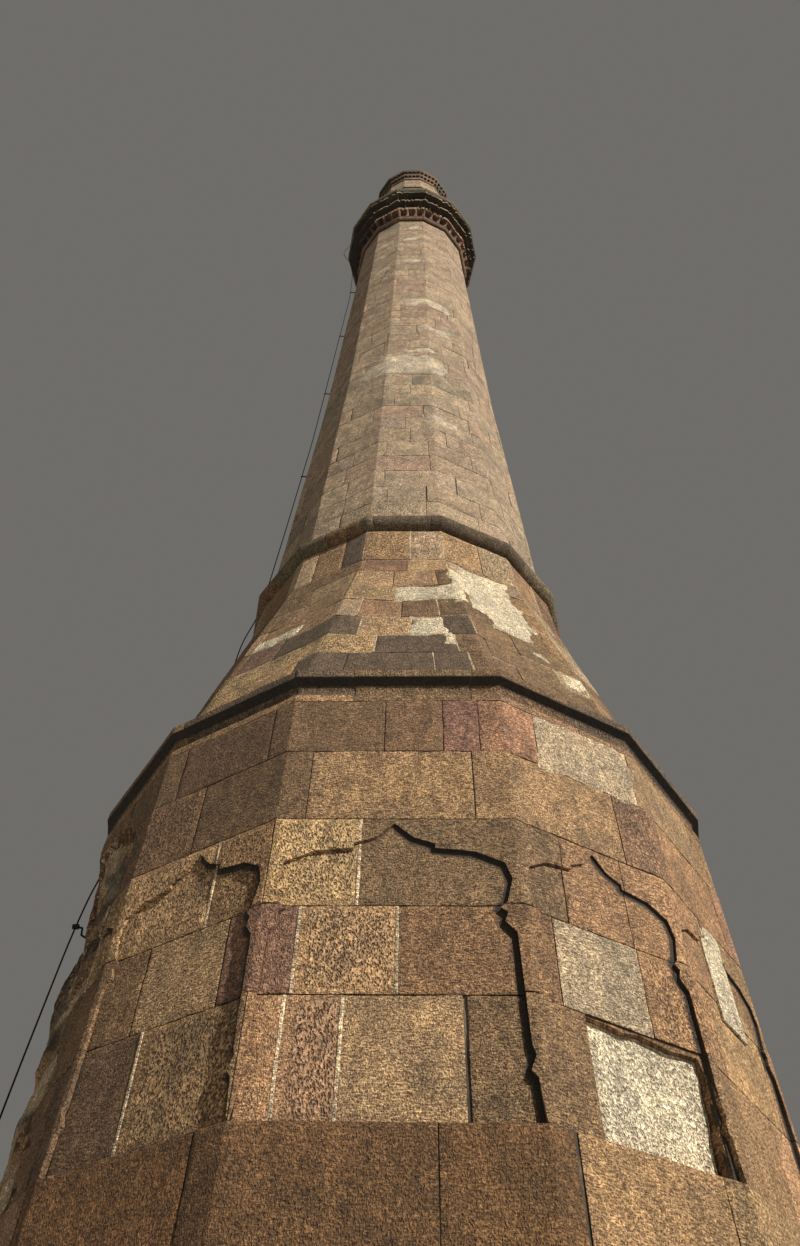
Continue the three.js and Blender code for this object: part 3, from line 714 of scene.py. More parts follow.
def closed_course(ring, z0, z1, seen, rng, looks, seen_cell, **finish):
    """A course of the stones that show from the front, closed at the back by random ones."""
    blocks = lay(ring, z0, z1, seen, rng, cell=seen_cell)
    return blocks + course(ring, z0, z1, seen[-1][0], seen[0][0] + SIDES, rng, looks, **finish)


# The blind arches are cut through the outer stones, and the stones behind them stand back
def face_half_angle(face):
    return (SIDE_FACE_ANGLE if face else FRONT_FACE_ANGLE) / 2


def face_middle(face):
    return BASE_ANGLES[face] + face_half_angle(face)


def door_span(width, radius, half_angle):
    """First and last q of a doorway in the middle of the rear face."""
    share = width / (2 * radius * math.sin(half_angle))
    return REAR_FACE + 0.5 - share / 2, REAR_FACE + 0.5 + share / 2


def arch_outline(face, outward):
    """Outline of a blind arch from its right foot over the apex, moved outward."""
    width = BASE_RADIUS * math.sin(face_half_angle(face))
    right = [Vector((share * width, z)) for share, z in ARCH_HALF]
    line = right + [Vector((0.0, ARCH_APEX))] + [Vector((-p.x, p.y)) for p in reversed(right)]
    moved = []
    for i, p in enumerate(line):
        along = (line[min(i + 1, len(line) - 1)] - line[max(i - 1, 0)]).normalized()
        moved.append(p + Vector((-along.y, along.x)) * outward)
    return moved


def base_depth(points):
    """Distance of points in front of the base's faces."""
    turn = bearing(points)
    front = np.abs(turn) < FRONT_FACE_ANGLE / 2
    face = np.floor((turn - FRONT_FACE_ANGLE / 2) % (2 * math.pi) / SIDE_FACE_ANGLE)
    middle = np.where(front, 0.0, FRONT_FACE_ANGLE / 2 + (face + 0.5) * SIDE_FACE_ANGLE)
    half = np.where(front, FRONT_FACE_ANGLE, SIDE_FACE_ANGLE) / 2
    return np.hypot(points[:, 0], points[:, 1]) * np.cos(turn - middle) - BASE_RADIUS * np.cos(half)


# First and last q of the arched wall's stones that show from the front
SEEN_SPAN = (-2.95, 3.45)
# Depth of the cuts into the arched wall's stones, more than the stones reach
CUT_DEPTH = 0.12
# The missing stone beside the front: first q, last q, bottom, top
PATCH = (1.29, 1.968, *ARCH_LEVELS[:3:-1])

# Height at which places round the base are measured
RUN_HEIGHT = 5.0
# The break at the corner left of the front: first and last q of the stones it can reach
BREAK_SPAN = (-2.9, -1.1)
# Its outline: height, depth, first q, last q
BROKEN = np.array([
    (3.4, 0.0, -2.2, -1.8), (3.6, 0.05, -2.4, -1.5), (4.0, 0.045, -2.5, -1.35), (4.35, 0.065, -2.5, -1.45),
    (4.75, 0.03, -2.4, -1.3), (5.05, 0.035, -2.4, -1.25), (5.2, 0.085, -2.5, -1.2),
    (5.5, 0.105, -2.55, -1.25), (5.72, 0.06, -2.4, -1.35), (5.9, 0.03, -2.3, -1.6), (6.0, 0.0, -1.8, -2.2),
])


def broken_depth(q, z):
    """Depth of the break under the faces, and how far inside its ragged edge a place is."""
    run = base_ring.run(q, RUN_HEIGHT)
    deep, first, last = (np.interp(z, BROKEN[:, 0], BROKEN[:, i]) for i in (1, 2, 3))
    inside = np.minimum(run - base_ring.run(first, RUN_HEIGHT), base_ring.run(last, RUN_HEIGHT) - run)
    inside = inside + 0.09 * rough(run * 4, z * 4, 71, 3)
    layers = 0.024 * rough(run * 3 + 0.5 * z, z * 9 - 3 * run, 73, 3)
    depth = (deep * np.clip(inside / 0.3, 0, 1) ** 0.6 + layers * (deep > 0.01) + 0.012) * (inside > 0)
    return depth, inside


def break_tool():
    """The broken-away masonry as one closed tool that reaches out of the faces."""
    Q, Z = np.meshgrid(np.arange(-2.85, -1.02, 0.026), np.arange(3.42, 6.05, 0.025))
    depth, inside = broken_depth(Q, Z)
    d = np.where(inside > 0, -np.maximum(depth, 0.0), 0.035)
    points, quads, ends = shell(base_ring, Q, Z, d, -0.16)
    return plain_mesh("break", points, [tuple(face[::-1]) for face in (*quads, *ends)])


def base_share(points):
    """q of points round the base."""
    faces = np.arange(-SIDES // 2, SIDES // 2 + 2)
    corners = [BASE_ANGLES[i % SIDES] + 2 * math.pi * (i // SIDES) for i in faces]
    return np.interp(bearing(points), corners, faces)


def prism(name, face, outline, depth):
    """Closed prism into a base face, from an outline of (metres to the right of its middle, height)."""
    middle = face_middle(face)
    apothem = BASE_RADIUS * math.cos(face_half_angle(face))
    along = Vector((math.cos(middle), math.sin(middle), 0))
    out = Vector((math.sin(middle), -math.cos(middle), 0))
    ends = (apothem - depth, apothem + 0.1)
    points = [along * x + out * reach + Vector((0, 0, z)) for reach in ends for x, z in outline]
    n = len(outline)
    sides = [(i, (i + 1) % n, n + (i + 1) % n, n + i) for i in range(n)]
    return plain_mesh(name, points, [tuple(range(n))[::-1], tuple(range(n, 2 * n)), *sides])


def plain_mesh(name, points, faces):
    mesh = bpy.data.meshes.new(name)
    mesh.from_pydata([tuple(p) for p in points], [], faces)
    mesh.update()
    return mesh


def cut_meshes(jobs):
    """Cuts meshes, all in one go, into points and faces. A job is (mesh, [(tool, operation)])."""
    objects = bpy.context.scene.collection.objects
    tools, pieces = {}, []
    for mesh, cuts in jobs:
        piece = bpy.data.objects.new("stone", mesh)
        objects.link(piece)
        pieces.append(piece)
        for tool, operation in cuts:
            if tool.name not in tools:
                tools[tool.name] = bpy.data.objects.new(tool.name, tool)
                objects.link(tools[tool.name])
            change = piece.modifiers.new("cut", "BOOLEAN")
            change.object = tools[tool.name]
            change.operation = operation
            change.solver = "MANIFOLD"
    graph = bpy.context.evaluated_depsgraph_get()
    out = []
    for piece in pieces:
        mesh = piece.evaluated_get(graph).data
        co = np.zeros(len(mesh.vertices) * 3, np.float32)
        mesh.vertices.foreach_get("co", co)
        out.append((co.reshape(-1, 3).astype(float), [list(p.vertices) for p in mesh.polygons]))
    for piece in pieces + list(tools.values()):
        bpy.data.objects.remove(piece)
    return out


def near_outline(face, points, wide, slim):
    """1 on the arch's outline, fading to 0 away from it. Also metres to the right of the face's middle."""
    middle = face_middle(face)
    across = points[:, 0] * math.cos(middle) + points[:, 1] * math.sin(middle)
    here = np.stack([across, points[:, 2]], axis=1)
    line = np.array([tuple(p) for p in arch_outline(face, 0.0)])
    a, b = line[None, :-1], line[None, 1:]
    share = np.clip(((here[:, None] - a) * (b - a)).sum(2) / ((b - a)**2).sum(2), 0, 1)[..., None]
    apart = np.linalg.norm(here[:, None] - a - share * (b - a), axis=2).min(axis=1)
    return np.clip(1.25 - apart / np.where(across > 0, wide, slim), 0, 1), across


def carved(block, peck, depth, faces, co, outlines):
    """A block after its cut, on its own surface coordinates, with painted shade where it lies under a depth
    and beside the arch's outline.
    """
    if len(co) < 4:
        return None
    quads = np.array([r for r in outlines if len(r) == 4], int).reshape(-1, 4)
    others = [r for r in outlines if len(r) != 4]
    z = co[:, 2]
    turn, own = bearing(co), np.unwrap(bearing(block.points))
    order = np.argsort(own)
    near = np.round((own[order[0]] - turn) / (2 * math.pi)) * 2 * math.pi
    along = np.interp(turn + near, own[order], block.place[order, 0]) + base_depth(co)
    place = np.stack([along, z, np.full(len(co), block.place[0, 2])], axis=1)
    low, high = block.place[:, :2].min(axis=0), block.place[:, :2].max(axis=0)
    from_edge = np.minimum(place[:, :2] - low, high - place[:, :2]).min(axis=1)
    feel = peck * (0.05 + 0.95 * np.clip((from_edge - 0.022) / 0.012, 0, 1))
    # The walls of the break and of the hole, and the arches' sunlit left sides, get no painted shade
    share = base_share(co)
    no_painted_shade = (broken_depth(share, z)[1] > -0.04) & (share < -1.0) & (z > 3.6)
    no_painted_shade |= (share > PATCH[0] - 0.02) & (share < PATCH[1] + 0.03) & (z < PATCH[3] - 0.03)
    tints = np.tile(block.tint[0], (len(co), 1))
    for face in faces:
        close, across = near_outline(face % SIDES, co, 0.036, 0.012)
        no_painted_shade |= (across < 0) & (close > 0.95)
        # Painted shadow on the recessed stones beside the arch's outline, wider on the right where the jamb
        # shades them
        if depth < -0.02:
            tints[:, 3] += 1.6 * close * np.where(across > 0, 1.0, 0.3)
    # Painted shade on walls that lie deeper than the stone's face
    tints[(base_depth(co) < depth) & ~no_painted_shade, 3] = SIDE_PAINTED_SHADE
    return Block(co, quads, others, place, tints, feel)


def carve(jobs):
    """Cuts all blocks. A job is (group, block, [(tool mesh, operation)], pecking, depth, faces)."""
    meshes = [plain_mesh("stone", block.points, block.faces()) for _, block, *_ in jobs]
    cut = cut_meshes([(mesh, cuts) for mesh, (_, _, cuts, *_) in zip(meshes, jobs)])
    for (group, block, _, peck, depth, faces), result in zip(jobs, cut):
        group.append(carved(block, peck, depth, faces, *result))


def joined(node):
    """The node's mesh with its split edges joined."""
    source = nodes[node].data.copy()
    join = bmesh.new()
    join.from_mesh(source)
    bmesh.ops.remove_doubles(join, verts=join.verts, dist=1e-5)
    join.to_mesh(source)
    join.free()
    return source


def cut_panel(node, name, tool, finish):
    """A wall panel less a tool, in its node's place. finish gives the place, tint and feel of its points."""
    (co, outlines), = cut_meshes([(joined(node), [(tool, "DIFFERENCE")])])
    wall = show(name, [Block(co, np.zeros((0, 4), int), outlines, *finish(co))])
    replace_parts(wall, node)


def hole_finish(co):
    # Brown and sooty: painted shade on the panel's walls inside the hole
    return co[:, [0, 2, 1]], (*STONES["brown"], 0.15), 0.4


def broken_finish(co):
    place = np.stack([base_ring.run(base_share(co), RUN_HEIGHT), co[:, 2], base_depth(co)], axis=1)
    x, z = place[:, 0], place[:, 1]
    pale = np.clip(0.5 + 1.2 * rough(x * 3, z * 4, 77, 2), 0, 1)[:, None]
    colour = np.array(STONES["tan"]) * (1 - pale) + np.array(STONES["cream"]) * pale
    # Darker along layered streaks: painted shade in the cracks between the layers, with grime
    soot = np.clip(-0.02 - 1.3 * rough(x * 3 + 0.5 * z, z * 9, 73, 3), 0, 0.75)
    return place, np.column_stack([colour, soot]), 0.45


def build_patch(rng):
    """The missing stone beside the front: a ragged hole in the panel, filled with mortar further in."""
    q0, q1, z0, z1 = PATCH
    half = BASE_RADIUS * math.sin(face_half_angle(1))
    x0, x1 = (2 * (q0 - 1) - 1) * half, (2 * (q1 - 1) - 1) * half
    sill = [(x0 + 0.01, z0 + 0.02), (x1 + 0.01, z0 + 0.015)]
    right = [(x1 + out, z0 + up) for out, up in (
        (-0.002, 0.1), (-0.014, 0.2), (0.004, 0.28), (-0.008, 0.36), (-0.004, 0.46))]
    head = [(x1 - 0.03, z1 - 0.02)] + [(x0 + along, z1 - down) for along, down in (
        (0.46, 0.03), (0.3, 0.004), (0.2, 0.022), (0.12, 0.008), (0.004, 0.004))]
    hole = prism("patch_hole", 1, sill + right + head + [(x0 + 0.008, z0 + 0.3)], 0.11)
    cut_panel("arch_wall_01", "arch_wall_01_with_hole", hole, hole_finish)
    back = polygon_ring(BASE_ANGLES, [(BASE_RADIUS - 0.092, PLINTH_TOP), (BASE_RADIUS - 0.01, ARCH_APEX)])
    fill = stone(back, q0 - 0.01, q1 + 0.01, z0, z1 + 0.01, "white", rng, peck=0.55, cell=0.016, relief=0.011,
                 proud=0.0, sink=0.05, margin=0.001, vary=0.0)
    marks = [plaster(base_ring, 1.25, 1.93, 5.63, 6.04, rng, "cream", ragged=0.06),
             plaster(base_ring, 2.43, 2.62, 4.5, 5.06, rng)]
    show("patch_infill", [fill] + marks)


def build_arch_wall(rng):
    outer = [prism(f"arch_{f}", f, arch_outline(f, 0.003), CUT_DEPTH) for f in range(SIDES)]
    inner = [prism(f"panel_{f}", f, arch_outline(f, 0.0035), CUT_DEPTH) for f in range(SIDES)]
    broken = break_tool()
    near, far, jobs = [], [], []
    for z0, z1, seen_plan in zip(ARCH_LEVELS[1:], ARCH_LEVELS, SEEN_ARCH_WALL):
        arched = z0 < ARCH_APEX
        rear = cut_course(base_ring, z0, z1, seen_plan[-1][0], seen_plan[0][0] + SIDES, rng, BASE_LOOKS,
                          (0.5, 0.95), 0.25, 0.1)
        for q0, q1, look, peck, soot, kind in planned(seen_plan[:-1] + rear):
            if look is None:
                continue
            seen = q0 > SEEN_SPAN[0] and q1 < SEEN_SPAN[1]
            group = near if seen else far
            finish = {"peck": peck, "soot": soot, "cell": 0.017 if seen else 0.05}
            start = q0 + (OPEN_JOINT if kind == "open" else 0)
            proud = 0.008 + rng.uniform(*UNEVEN)
            block = stone(base_ring, start, q1, z0, z1, look, rng, sink=0.04, proud=proud, **finish)
            if kind == "pale" and not arched:
                group.append(smear_up(base_ring, q0, z0, z1, rng))
            turn = SIDES if q0 > REAR_FACE else 0
            reached = q1 - turn > BREAK_SPAN[0] and q0 - turn < BREAK_SPAN[1]
            cuts = [(broken, "DIFFERENCE")] if reached else []
            touched = range(math.floor(q0 + 1e-6), math.ceil(q1 - 1e-6))
            if not arched:
                if cuts:
                    jobs.append((group, block, cuts, peck, 0.0, touched))
                else:
                    group.append(block)
                continue
            arches = [(outer[f % SIDES], "DIFFERENCE") for f in touched]
            jobs.append((group, block, arches + cuts, peck, 0.0, touched))
            for f in touched:
                back = stone(recess_ring, max(start, f), min(q1, f + 1), z0, z1, look, rng, **finish)
                if back is not None:
                    back.tint = np.tile(block.tint[0], (len(back.points), 1))
                    panel = (inner[f % SIDES], "INTERSECT")
                    jobs.append((group, back, [panel] + cuts, peck, -0.034, (f,)))
            f = touched[0]
            if kind == "pale" and q0 - f > 0.02:
                for ring, tool, how in ((base_ring, outer[f % SIDES], "DIFFERENCE"),
                                        (recess_ring, inner[f % SIDES], "INTERSECT")):
                    line = smear_up(ring, q0, z0, z1, rng, width=0.018)
                    jobs.append((group, line, [(tool, how)], 0, -0.05, ()))
    carve(jobs)
    show("arch_wall_stones_front", near)
    show("arch_wall_stones_rear", far)
    for node in ("arch_wall_11", "arch_wall_12"):
        cut_panel(node, node + "_broken", broken, broken_finish)


PLINTH_LEVELS = [FOOT_TOP, 0.66, 1.08, 1.46, 1.85, DOOR_HEIGHT, 2.66, 3.065, PLINTH_TOP]


def build_plinth(rng):
    door = door_span(DOOR_WIDTH, BASE_RADIUS, face_half_angle(REAR_FACE))
    lintel = (REAR_FACE + 0.02, REAR_FACE + 0.98)
    foot_looks = ["brown", "grey_brown", "umber"]
    blocks = course(foot_ring, 0.011, FOOT_COURSE_TOP, 0.3, 0.3 + SIDES, rng, foot_looks, (0.6, 1.1),
                    soot=0.2, cell=0.06)
    for z0, z1 in zip(PLINTH_LEVELS, PLINTH_LEVELS[1:-1]):
        if z1 < DOOR_HEIGHT + 0.01:
            span = (door[1], door[0] + SIDES)
        elif z0 < DOOR_HEIGHT + 0.01:
            blocks.append(stone(base_ring, *lintel, z0, z1, "brown", rng, cell=0.05))
            span = (lintel[1], lintel[0] + SIDES)
        else:
            start = rng.uniform(0, 1)
            span = (start, start + SIDES)
        blocks += course(base_ring, z0, z1, *span, rng, BASE_LOOKS, cell=0.055)
    top_course = PLINTH_LEVELS[-2:]
    blocks += closed_course(base_ring, *top_course, SEEN_PLINTH_TOP, rng, BASE_LOOKS, 0.02, cell=0.06)
    show("plinth_stones", blocks)


# Mouldings swept round the tower as separate blocks
def moulding(angles, profile, rng, looks, lengths=(0.4, 0.8), soot=0.2, steps=1, joints=None, shadow=(),
             **finish):
    """Blocks of a moulding swept round the tower. shadow names the profile points whose rows get painted
    shadow.
    """
    gap = 0.004
    finish = {"cell": 0.05, "sink": 0.05, "proud": 0.004, "relief": 0.0015, "wear": 0.003, **finish}
    ring = polygon_ring(angles, profile, by_height=False)
    rows = [ring.w[0]]
    for a, b in zip(ring.w, ring.w[1:]):
        rows += list(np.linspace(a, b, steps + 1)[1:])
    rows[0] += gap / 2
    rows[-1] -= gap / 2
    dark = [i for i in range(len(rows)) if round(i / steps) in shadow]
    cuts = list(joints or [rng.uniform(0, 0.5)])
    end = cuts[0] + SIDES
    while cuts[-1] < end - 1e-6:
        step = rng.uniform(*lengths)
        cuts.append(end if end - cuts[-1] - step < 0.25 else cuts[-1] + step)
    blocks = []
    for a, b in zip(cuts, cuts[1:]):
        look = looks[int(rng.integers(len(looks)))]
        block = stone(ring, a, b, ring.w[0], ring.w[-1], look, rng, soot=soot * rng.uniform(0.6, 1.3),
                      gap=gap, rows=rows, **finish)
        # Painted shadow on the rows named in shadow
        block.tint.reshape(len(rows) + 2, -1, 4)[dark, :, 3] = 1.2
        blocks.append(block)
    return blocks


def half_round(root, crown, z0, z1, steps):
    """Profile of a half round from z0 up to z1."""
    turns = [math.pi * i / steps for i in range(steps + 1)]
    middle, half = (z0 + z1) / 2, (z1 - z0) / 2
    return [(root + (crown - root) * math.sin(t), middle - half * math.cos(t)) for t in turns]


def build_mouldings(rng):
    low = BASE_RADIUS
    fascia = [(low, ARCH_TOP), (low, ARCH_TOP + 0.06)]
    joints = [-0.02, 0.28, 0.86]
    blocks = moulding(BASE_ANGLES, fascia, rng, ["pink", "tan", "grey_brown"], (0.35, 0.8), 0.08, 2, joints,
                      proud=0.007, wear=0.001, relief=0.001)
    show("cornice_fascia", blocks)
    cornice = [(low + out, ARCH_TOP + up) for out, up in (
        (0, 0.06), (-0.025, 0.085), (-0.025, 0.13), (-0.005, 0.17),
        (0.037, 0.192), (0.04, 0.2), (0.04, 0.26))]
    cornice.append((FACET_BASE_RADIUS, CORNICE_TOP))
    # Points 3 and 4, the soffit under the drip, get painted shadow
    blocks = moulding(BASE_ANGLES, cornice, rng, ["umber", "grey_brown", "umber"], (0.45, 0.95), 0.16, 2,
                      joints, (3, 4), peck=0.6)
    show("base_cornice_stones", blocks)
    crown = half_round(SHAFT_RADII[0], RING_RADIUS, COLLAR_TOP + 0.015, RING_TOP - 0.015, 10)
    blocks = moulding(SHAFT_ANGLES, crown, rng, ["brown", "umber", "lichen"], (0.8, 1.6), soot=0.22,
                      joints=[-0.1, 0.08, 0.85], sink=0.03)
    show("roll_ring_stones", blocks)
    low = SHAFT_RADII[-1]
    neck = half_round(low + 0.015, low + 0.085, SHAFT_TOP + 0.02, SHAFT_TOP + 0.2, 8)
    neck += [(low + 0.015, SHAFT_TOP + 0.23), (low + 0.05, NECK_TOP - 0.03), (low + 0.05, NECK_TOP)]
    # Points 0, 9 and 10, under the roll and under the band above it, get painted shadow
    blocks = moulding(SHAFT_ANGLES, neck, rng, ["brown", "rose", "brown"], (0.7, 1.3), soot=0.3,
                      shadow=(0, 9, 10), sink=0.03)
    show("neck_stones", blocks)
    slab = [(BALCONY_RADIUS - 0.025, SLAB_BOTTOM + 0.002), (BALCONY_RADIUS, SLAB_BOTTOM + 0.04),
            (BALCONY_RADIUS, SLAB_TOP - 0.012), (BALCONY_RADIUS - 0.012, SLAB_TOP)]
    blocks = moulding(SHAFT_ANGLES, slab, rng, ["lichen", "umber", "lichen"], (0.7, 1.2), soot=0.25, steps=2)
    show("balcony_edge_stones", blocks)


# Courses of the transition, from the foot up, and the stones of each that show from the front
TRANSITION_LEVELS = [CORNICE_TOP, 6.784, 7.085, 7.44, 7.783, 8.089, 8.432, FACET_TOP]
SEEN_TRANSITION = [
    [
        (-2.1, "brown", 0.3, 0.35), (-1.55, "grey_brown", 0.5, 0.3), (-0.95, "conglomerate", 0.8, 0.05),
        (-0.18, "umber", 0.4, 0.2), (0.188, "umber", 0.4, 0.24), (0.698, "umber", 0.4, 0.24, "pale"),
        (0.91, "grey_brown", 0.6, 0.2, "pale"), (1.3, "grey_brown", 0.4, 0.15), (2.0, "tan", 0.3, 0.1),
        (2.9,),
    ],
    [
        (-2.2, "grey_brown", 0.6, 0.2), (-1.6, "pink", 0.7, 0.1), (-1.0, "conglomerate", 1),
        (0.0, "conglomerate", 0.9), (0.336, "umber", 0.5, 0.18, "pale"),
        (0.86, "grey_brown", 0.6, 0.1, "pale"), (1.08, "grey_brown", 0.3, 0.12, "open"),
        (1.75, "buff", 0.5, 0.1), (2.3, "grey_brown", 0.3, 0.1), (3.0,),
    ],
    [
        (-2.2, "tan", 0.6, 0.1), (-1.55, "grey_brown", 0.5, 0.25), (-0.92, "rose", 0.6, 0.3),
        (-0.55, "umber", 0.5, 0.25), (0.0, "umber", 0.6, 0.15), (0.2, "grey", 0.8, 0, "pale"),
        (0.575, "grey", 0.4, 0, "open"), (0.806, "umber", 0.7, 0.15), (1.02, "brown", 0.3, 0.15, "pale"),
        (1.45, "brown", 0.3, 0.1), (2.1, "tan", 0.2), (2.8,),
    ],
    [
        (-2.1, "brown", 0.8, 0.2), (-1.5, "grey", 0.7, 0.15), (-0.88, "tan", 0.5),
        (-0.45, "grey", 0.6, 0.2), (-0.1, "buff", 0.4, 0.1), (0.156, "pink", 0.5, 0, "pale"),
        (0.5, "grey_brown", 0.5, 0.2), (0.795, "grey_brown", 0.6, 0.1, "pale"), (1.3, "brown", 0.45, 0.1),
        (1.88, "tan", 0.6, 0.05), (2.5, "brown", 0.6, 0.1), (3.1,),
    ],
    [
        (-2.2, "tan", 0.5, 0.1), (-1.4, "brown", 0.8, 0.15), (-0.7, "grey", 0.7, 0.2), (-0.02, "grey", 0.7),
        (0.44, "grey_brown", 0.5, 0.05, "open"), (1.0, "grey_brown", 0.3, 0.2), (1.25, "grey_brown", 0.45),
        (1.84, "tan", 0.6), (2.6,),
    ],
    [
        (-2.1, "brown", 0.5, 0.1), (-1.5, "grey_brown", 0.9, 0.2), (-0.6, "grey", 0.8, 0.2),
        (-0.02, "grey", 0.8), (0.4, "grey", 0.7), (0.85, "brown", 0.8, 0.15), (1.2, "tan", 0.45),
        (1.8, "tan", 0.7), (2.4, "buff", 0.5), (3.1,),
    ],
    [
        (-2.2, "brown", 0.5, 0.1), (-1.6, "grey_brown", 0.9, 0.2), (-0.95, "brown", 0.9, 0.2),
        (0.05, "pink", 0.4), (0.541, "grey", 0.5), (1.03, "buff", 0.5), (1.22, "tan", 0.45),
        (1.78, "buff", 0.6), (2.7,),
    ],
]
SEEN_COLLAR = [
    (-1.9, "tan", 0.9, 0.1), (-1.2, "buff", 0.5, 0.1), (-0.75, "tan", 1, 0.1), (-0.32, "umber", 0.9, 0.38),
    (-0.02, "tan", 1, 0, "pale"), (0.575, "buff", 1, 0, "pale"), (1.0, "ochre", 0.9, 0, "pale"),
    (1.55, "buff", 0.9), (2.1, "tan", 0.4), (2.6,),
]
TRANSITION_LOOKS = ["tan", "brown", "grey_brown", "grey", "umber", "grey", "buff", "brown", "pink"]
# Patches of old mortar: first q, last q, foot, head
TRANSITION_PATCHES = [
    (1.2, 1.84, 8.36, 8.64), (1.0, 1.82, 8.02, 8.46), (1.16, 1.85, 7.72, 8.12), (1.3, 1.76, 7.46, 7.80),
    (0.47, 1.08, 7.79, 8.06), (0.59, 0.79, 7.11, 7.41), (0.84, 1.02, 7.67, 7.75), (-0.9, -0.47, 7.45, 7.6),
    (1.58, 1.74, 7.2, 7.3), (1.86, 2.1, 6.9, 7.04), (0.80, 0.84, 6.95, 7.12), (5.0, 6.2, 7.1, 7.45),
    (9.1, 10.2, 7.8, 8.15),
]


def build_transition(rng):
    blocks = []
    for z0, z1, plan in zip(TRANSITION_LEVELS, TRANSITION_LEVELS[1:], SEEN_TRANSITION):
        blocks += closed_course(transition_ring, z0, z1, plan, rng, TRANSITION_LOOKS, 0.024,
                                lengths=(0.35, 0.75), peck_share=0.5, soot=0.12, cell=0.05)
    blocks += [plaster(transition_ring, *patch, rng, ragged=0.045) for patch in TRANSITION_PATCHES]
    show("transition_stones", blocks)
    looks = ["tan", "brown", "pink", "buff"]
    blocks = closed_course(collar_ring, FACET_TOP, COLLAR_TOP, SEEN_COLLAR, rng, looks, 0.022,
                           lengths=(0.28, 0.5), peck_share=0.85, cell=0.045)
    show("collar_stones", blocks)


# Patches of old mortar on the shaft: first q, last q, foot, head
SHAFT_PATCHES = [
    (-0.6, 1.35, 14.05, 14.5), (-0.2, 1.1, 14.45, 14.75), (0.42, 1.6, 17.4, 17.68), (0.85, 1.6, 16.02, 16.25),
    (0.4, 1.25, 14.92, 15.03), (0.15, 0.8, 20.35, 20.5), (-0.95, -0.5, 21.3, 21.5), (0.3, 0.7, 22.3, 22.5),
    (-0.6, -0.3, 18.2, 18.4), (5.1, 6.2, 12.9, 13.2), (9.2, 10.1, 16.7, 17.0), (-0.7, -0.2, 22.3, 22.5),
    (0.9, 1.5, 12.2, 12.35), (0.35, 0.75, 23.4, 23.6), (-0.8, -0.4, 20.1, 20.3),
]


def build_shaft(rng):
    blocks = []
    z = RING_TOP
    while z < SHAFT_TOP - 0.2:
        height = rng.uniform(0.34, 0.46)
        if SHAFT_TOP - z - height < 0.3:
            height = SHAFT_TOP - z
        start = rng.uniform(0, 1)
        blocks += course(shaft_ring, z, z + height, start, start + SIDES, rng, SHAFT_LOOKS, (0.4, 0.85), 0.3,
                         0.04, seams=False, cell=0.085, edge=0.012, proud=0.007, gap=0.005, vary=0.045,
                         wear=0.002)
        z += height
    blocks += [plaster(shaft_ring, *patch, rng, "shaft_cream", 0.05, 0.08) for patch in SHAFT_PATCHES]
    show("shaft_stones", blocks)


# Bands of the drum cornice: colours, soot and profile of (radius, height above the drum)
CAP_BANDS = [
    (["umber", "black", "brown"], 0.3, [(0.95, 0.0), (0.976, 0.012), (0.976, 0.118), (0.95, 0.148)]),
    (["shaft_grey", "brown"], 0.1, [(0.95, 0.152), (0.95, 0.3), (0.95, 0.418)]),
    (["umber", "black", "brown"], 0.3, [(0.95, 0.42), (1.005, 0.56), (1.005, 0.718)]),
    (["umber", "black", "brown"], 0.3,
     [(1.005, 0.722), (CAP_RADIUS, 0.84), (CAP_RADIUS, 0.985), (CAP_RADIUS - 0.03, 1.028)]),
]
# Rows of dentils under its bands: radius, foot and head above the drum, reach
DENTILS = [(0.98, 0.44, 0.55, 0.03), (1.03, 0.735, 0.83, 0.038)]


def build_drum(rng):
    door = door_span(BALCONY_DOOR_WIDTH, DRUM_RADIUS, math.pi / SIDES)
    door_top = SLAB_TOP + BALCONY_DOOR_HEIGHT
    blocks = []
    levels = list(np.linspace(SLAB_TOP, door_top, 5)) + list(np.linspace(door_top, DRUM_TOP, 8))[1:]
    for z0, z1 in zip(levels, levels[1:]):
        start = rng.uniform(0, 1)
        span = (start, start + SIDES)
        if z1 < door_top + 0.01:
            span = (door[1], door[0] + SIDES)
        elif z0 < door_top + 0.01:
            span = (REAR_FACE - 0.4, REAR_FACE - 0.4 + SIDES)
        blocks += course(drum_ring, z0, z1, *span, rng, SHAFT_LOOKS, (0.35, 0.7), cell=0.09, seams=False)
    show("drum_stones", blocks)
    line = half_round(DRUM_RADIUS, DRUM_RADIUS + 0.042, 29.44, 29.55, 5)
    # Points 0 and 1, the underside of the string moulding, get painted shadow
    blocks = moulding(SHAFT_ANGLES, line, rng, ["shaft_grey"], (0.8, 1.3), soot=0.1, shadow=(0, 1), sink=0.02,
                      cell=0.1)
    for looks, soot, band in CAP_BANDS:
        profile = [(r, DRUM_TOP + up) for r, up in band]
        blocks += moulding(SHAFT_ANGLES, profile, rng, looks, (0.7, 1.5), soot, 2, cell=0.07, sink=0.04)
    for radius, foot, head, proud in DENTILS:
        z0, z1 = DRUM_TOP + foot, DRUM_TOP + head
        ring = polygon_ring(SHAFT_ANGLES, [(radius, z0), (radius, z1)])
        for k in range(SIDES * 4):
            q = (k + 0.28) / 4
            blocks.append(stone(ring, q, q + 0.13, z0, z1, "umber", rng, soot=0.2, proud=proud, sink=0.04,
                                cell=0.06, edge=0.006, gap=0.001))
    show("drum_cornice_stones", blocks)


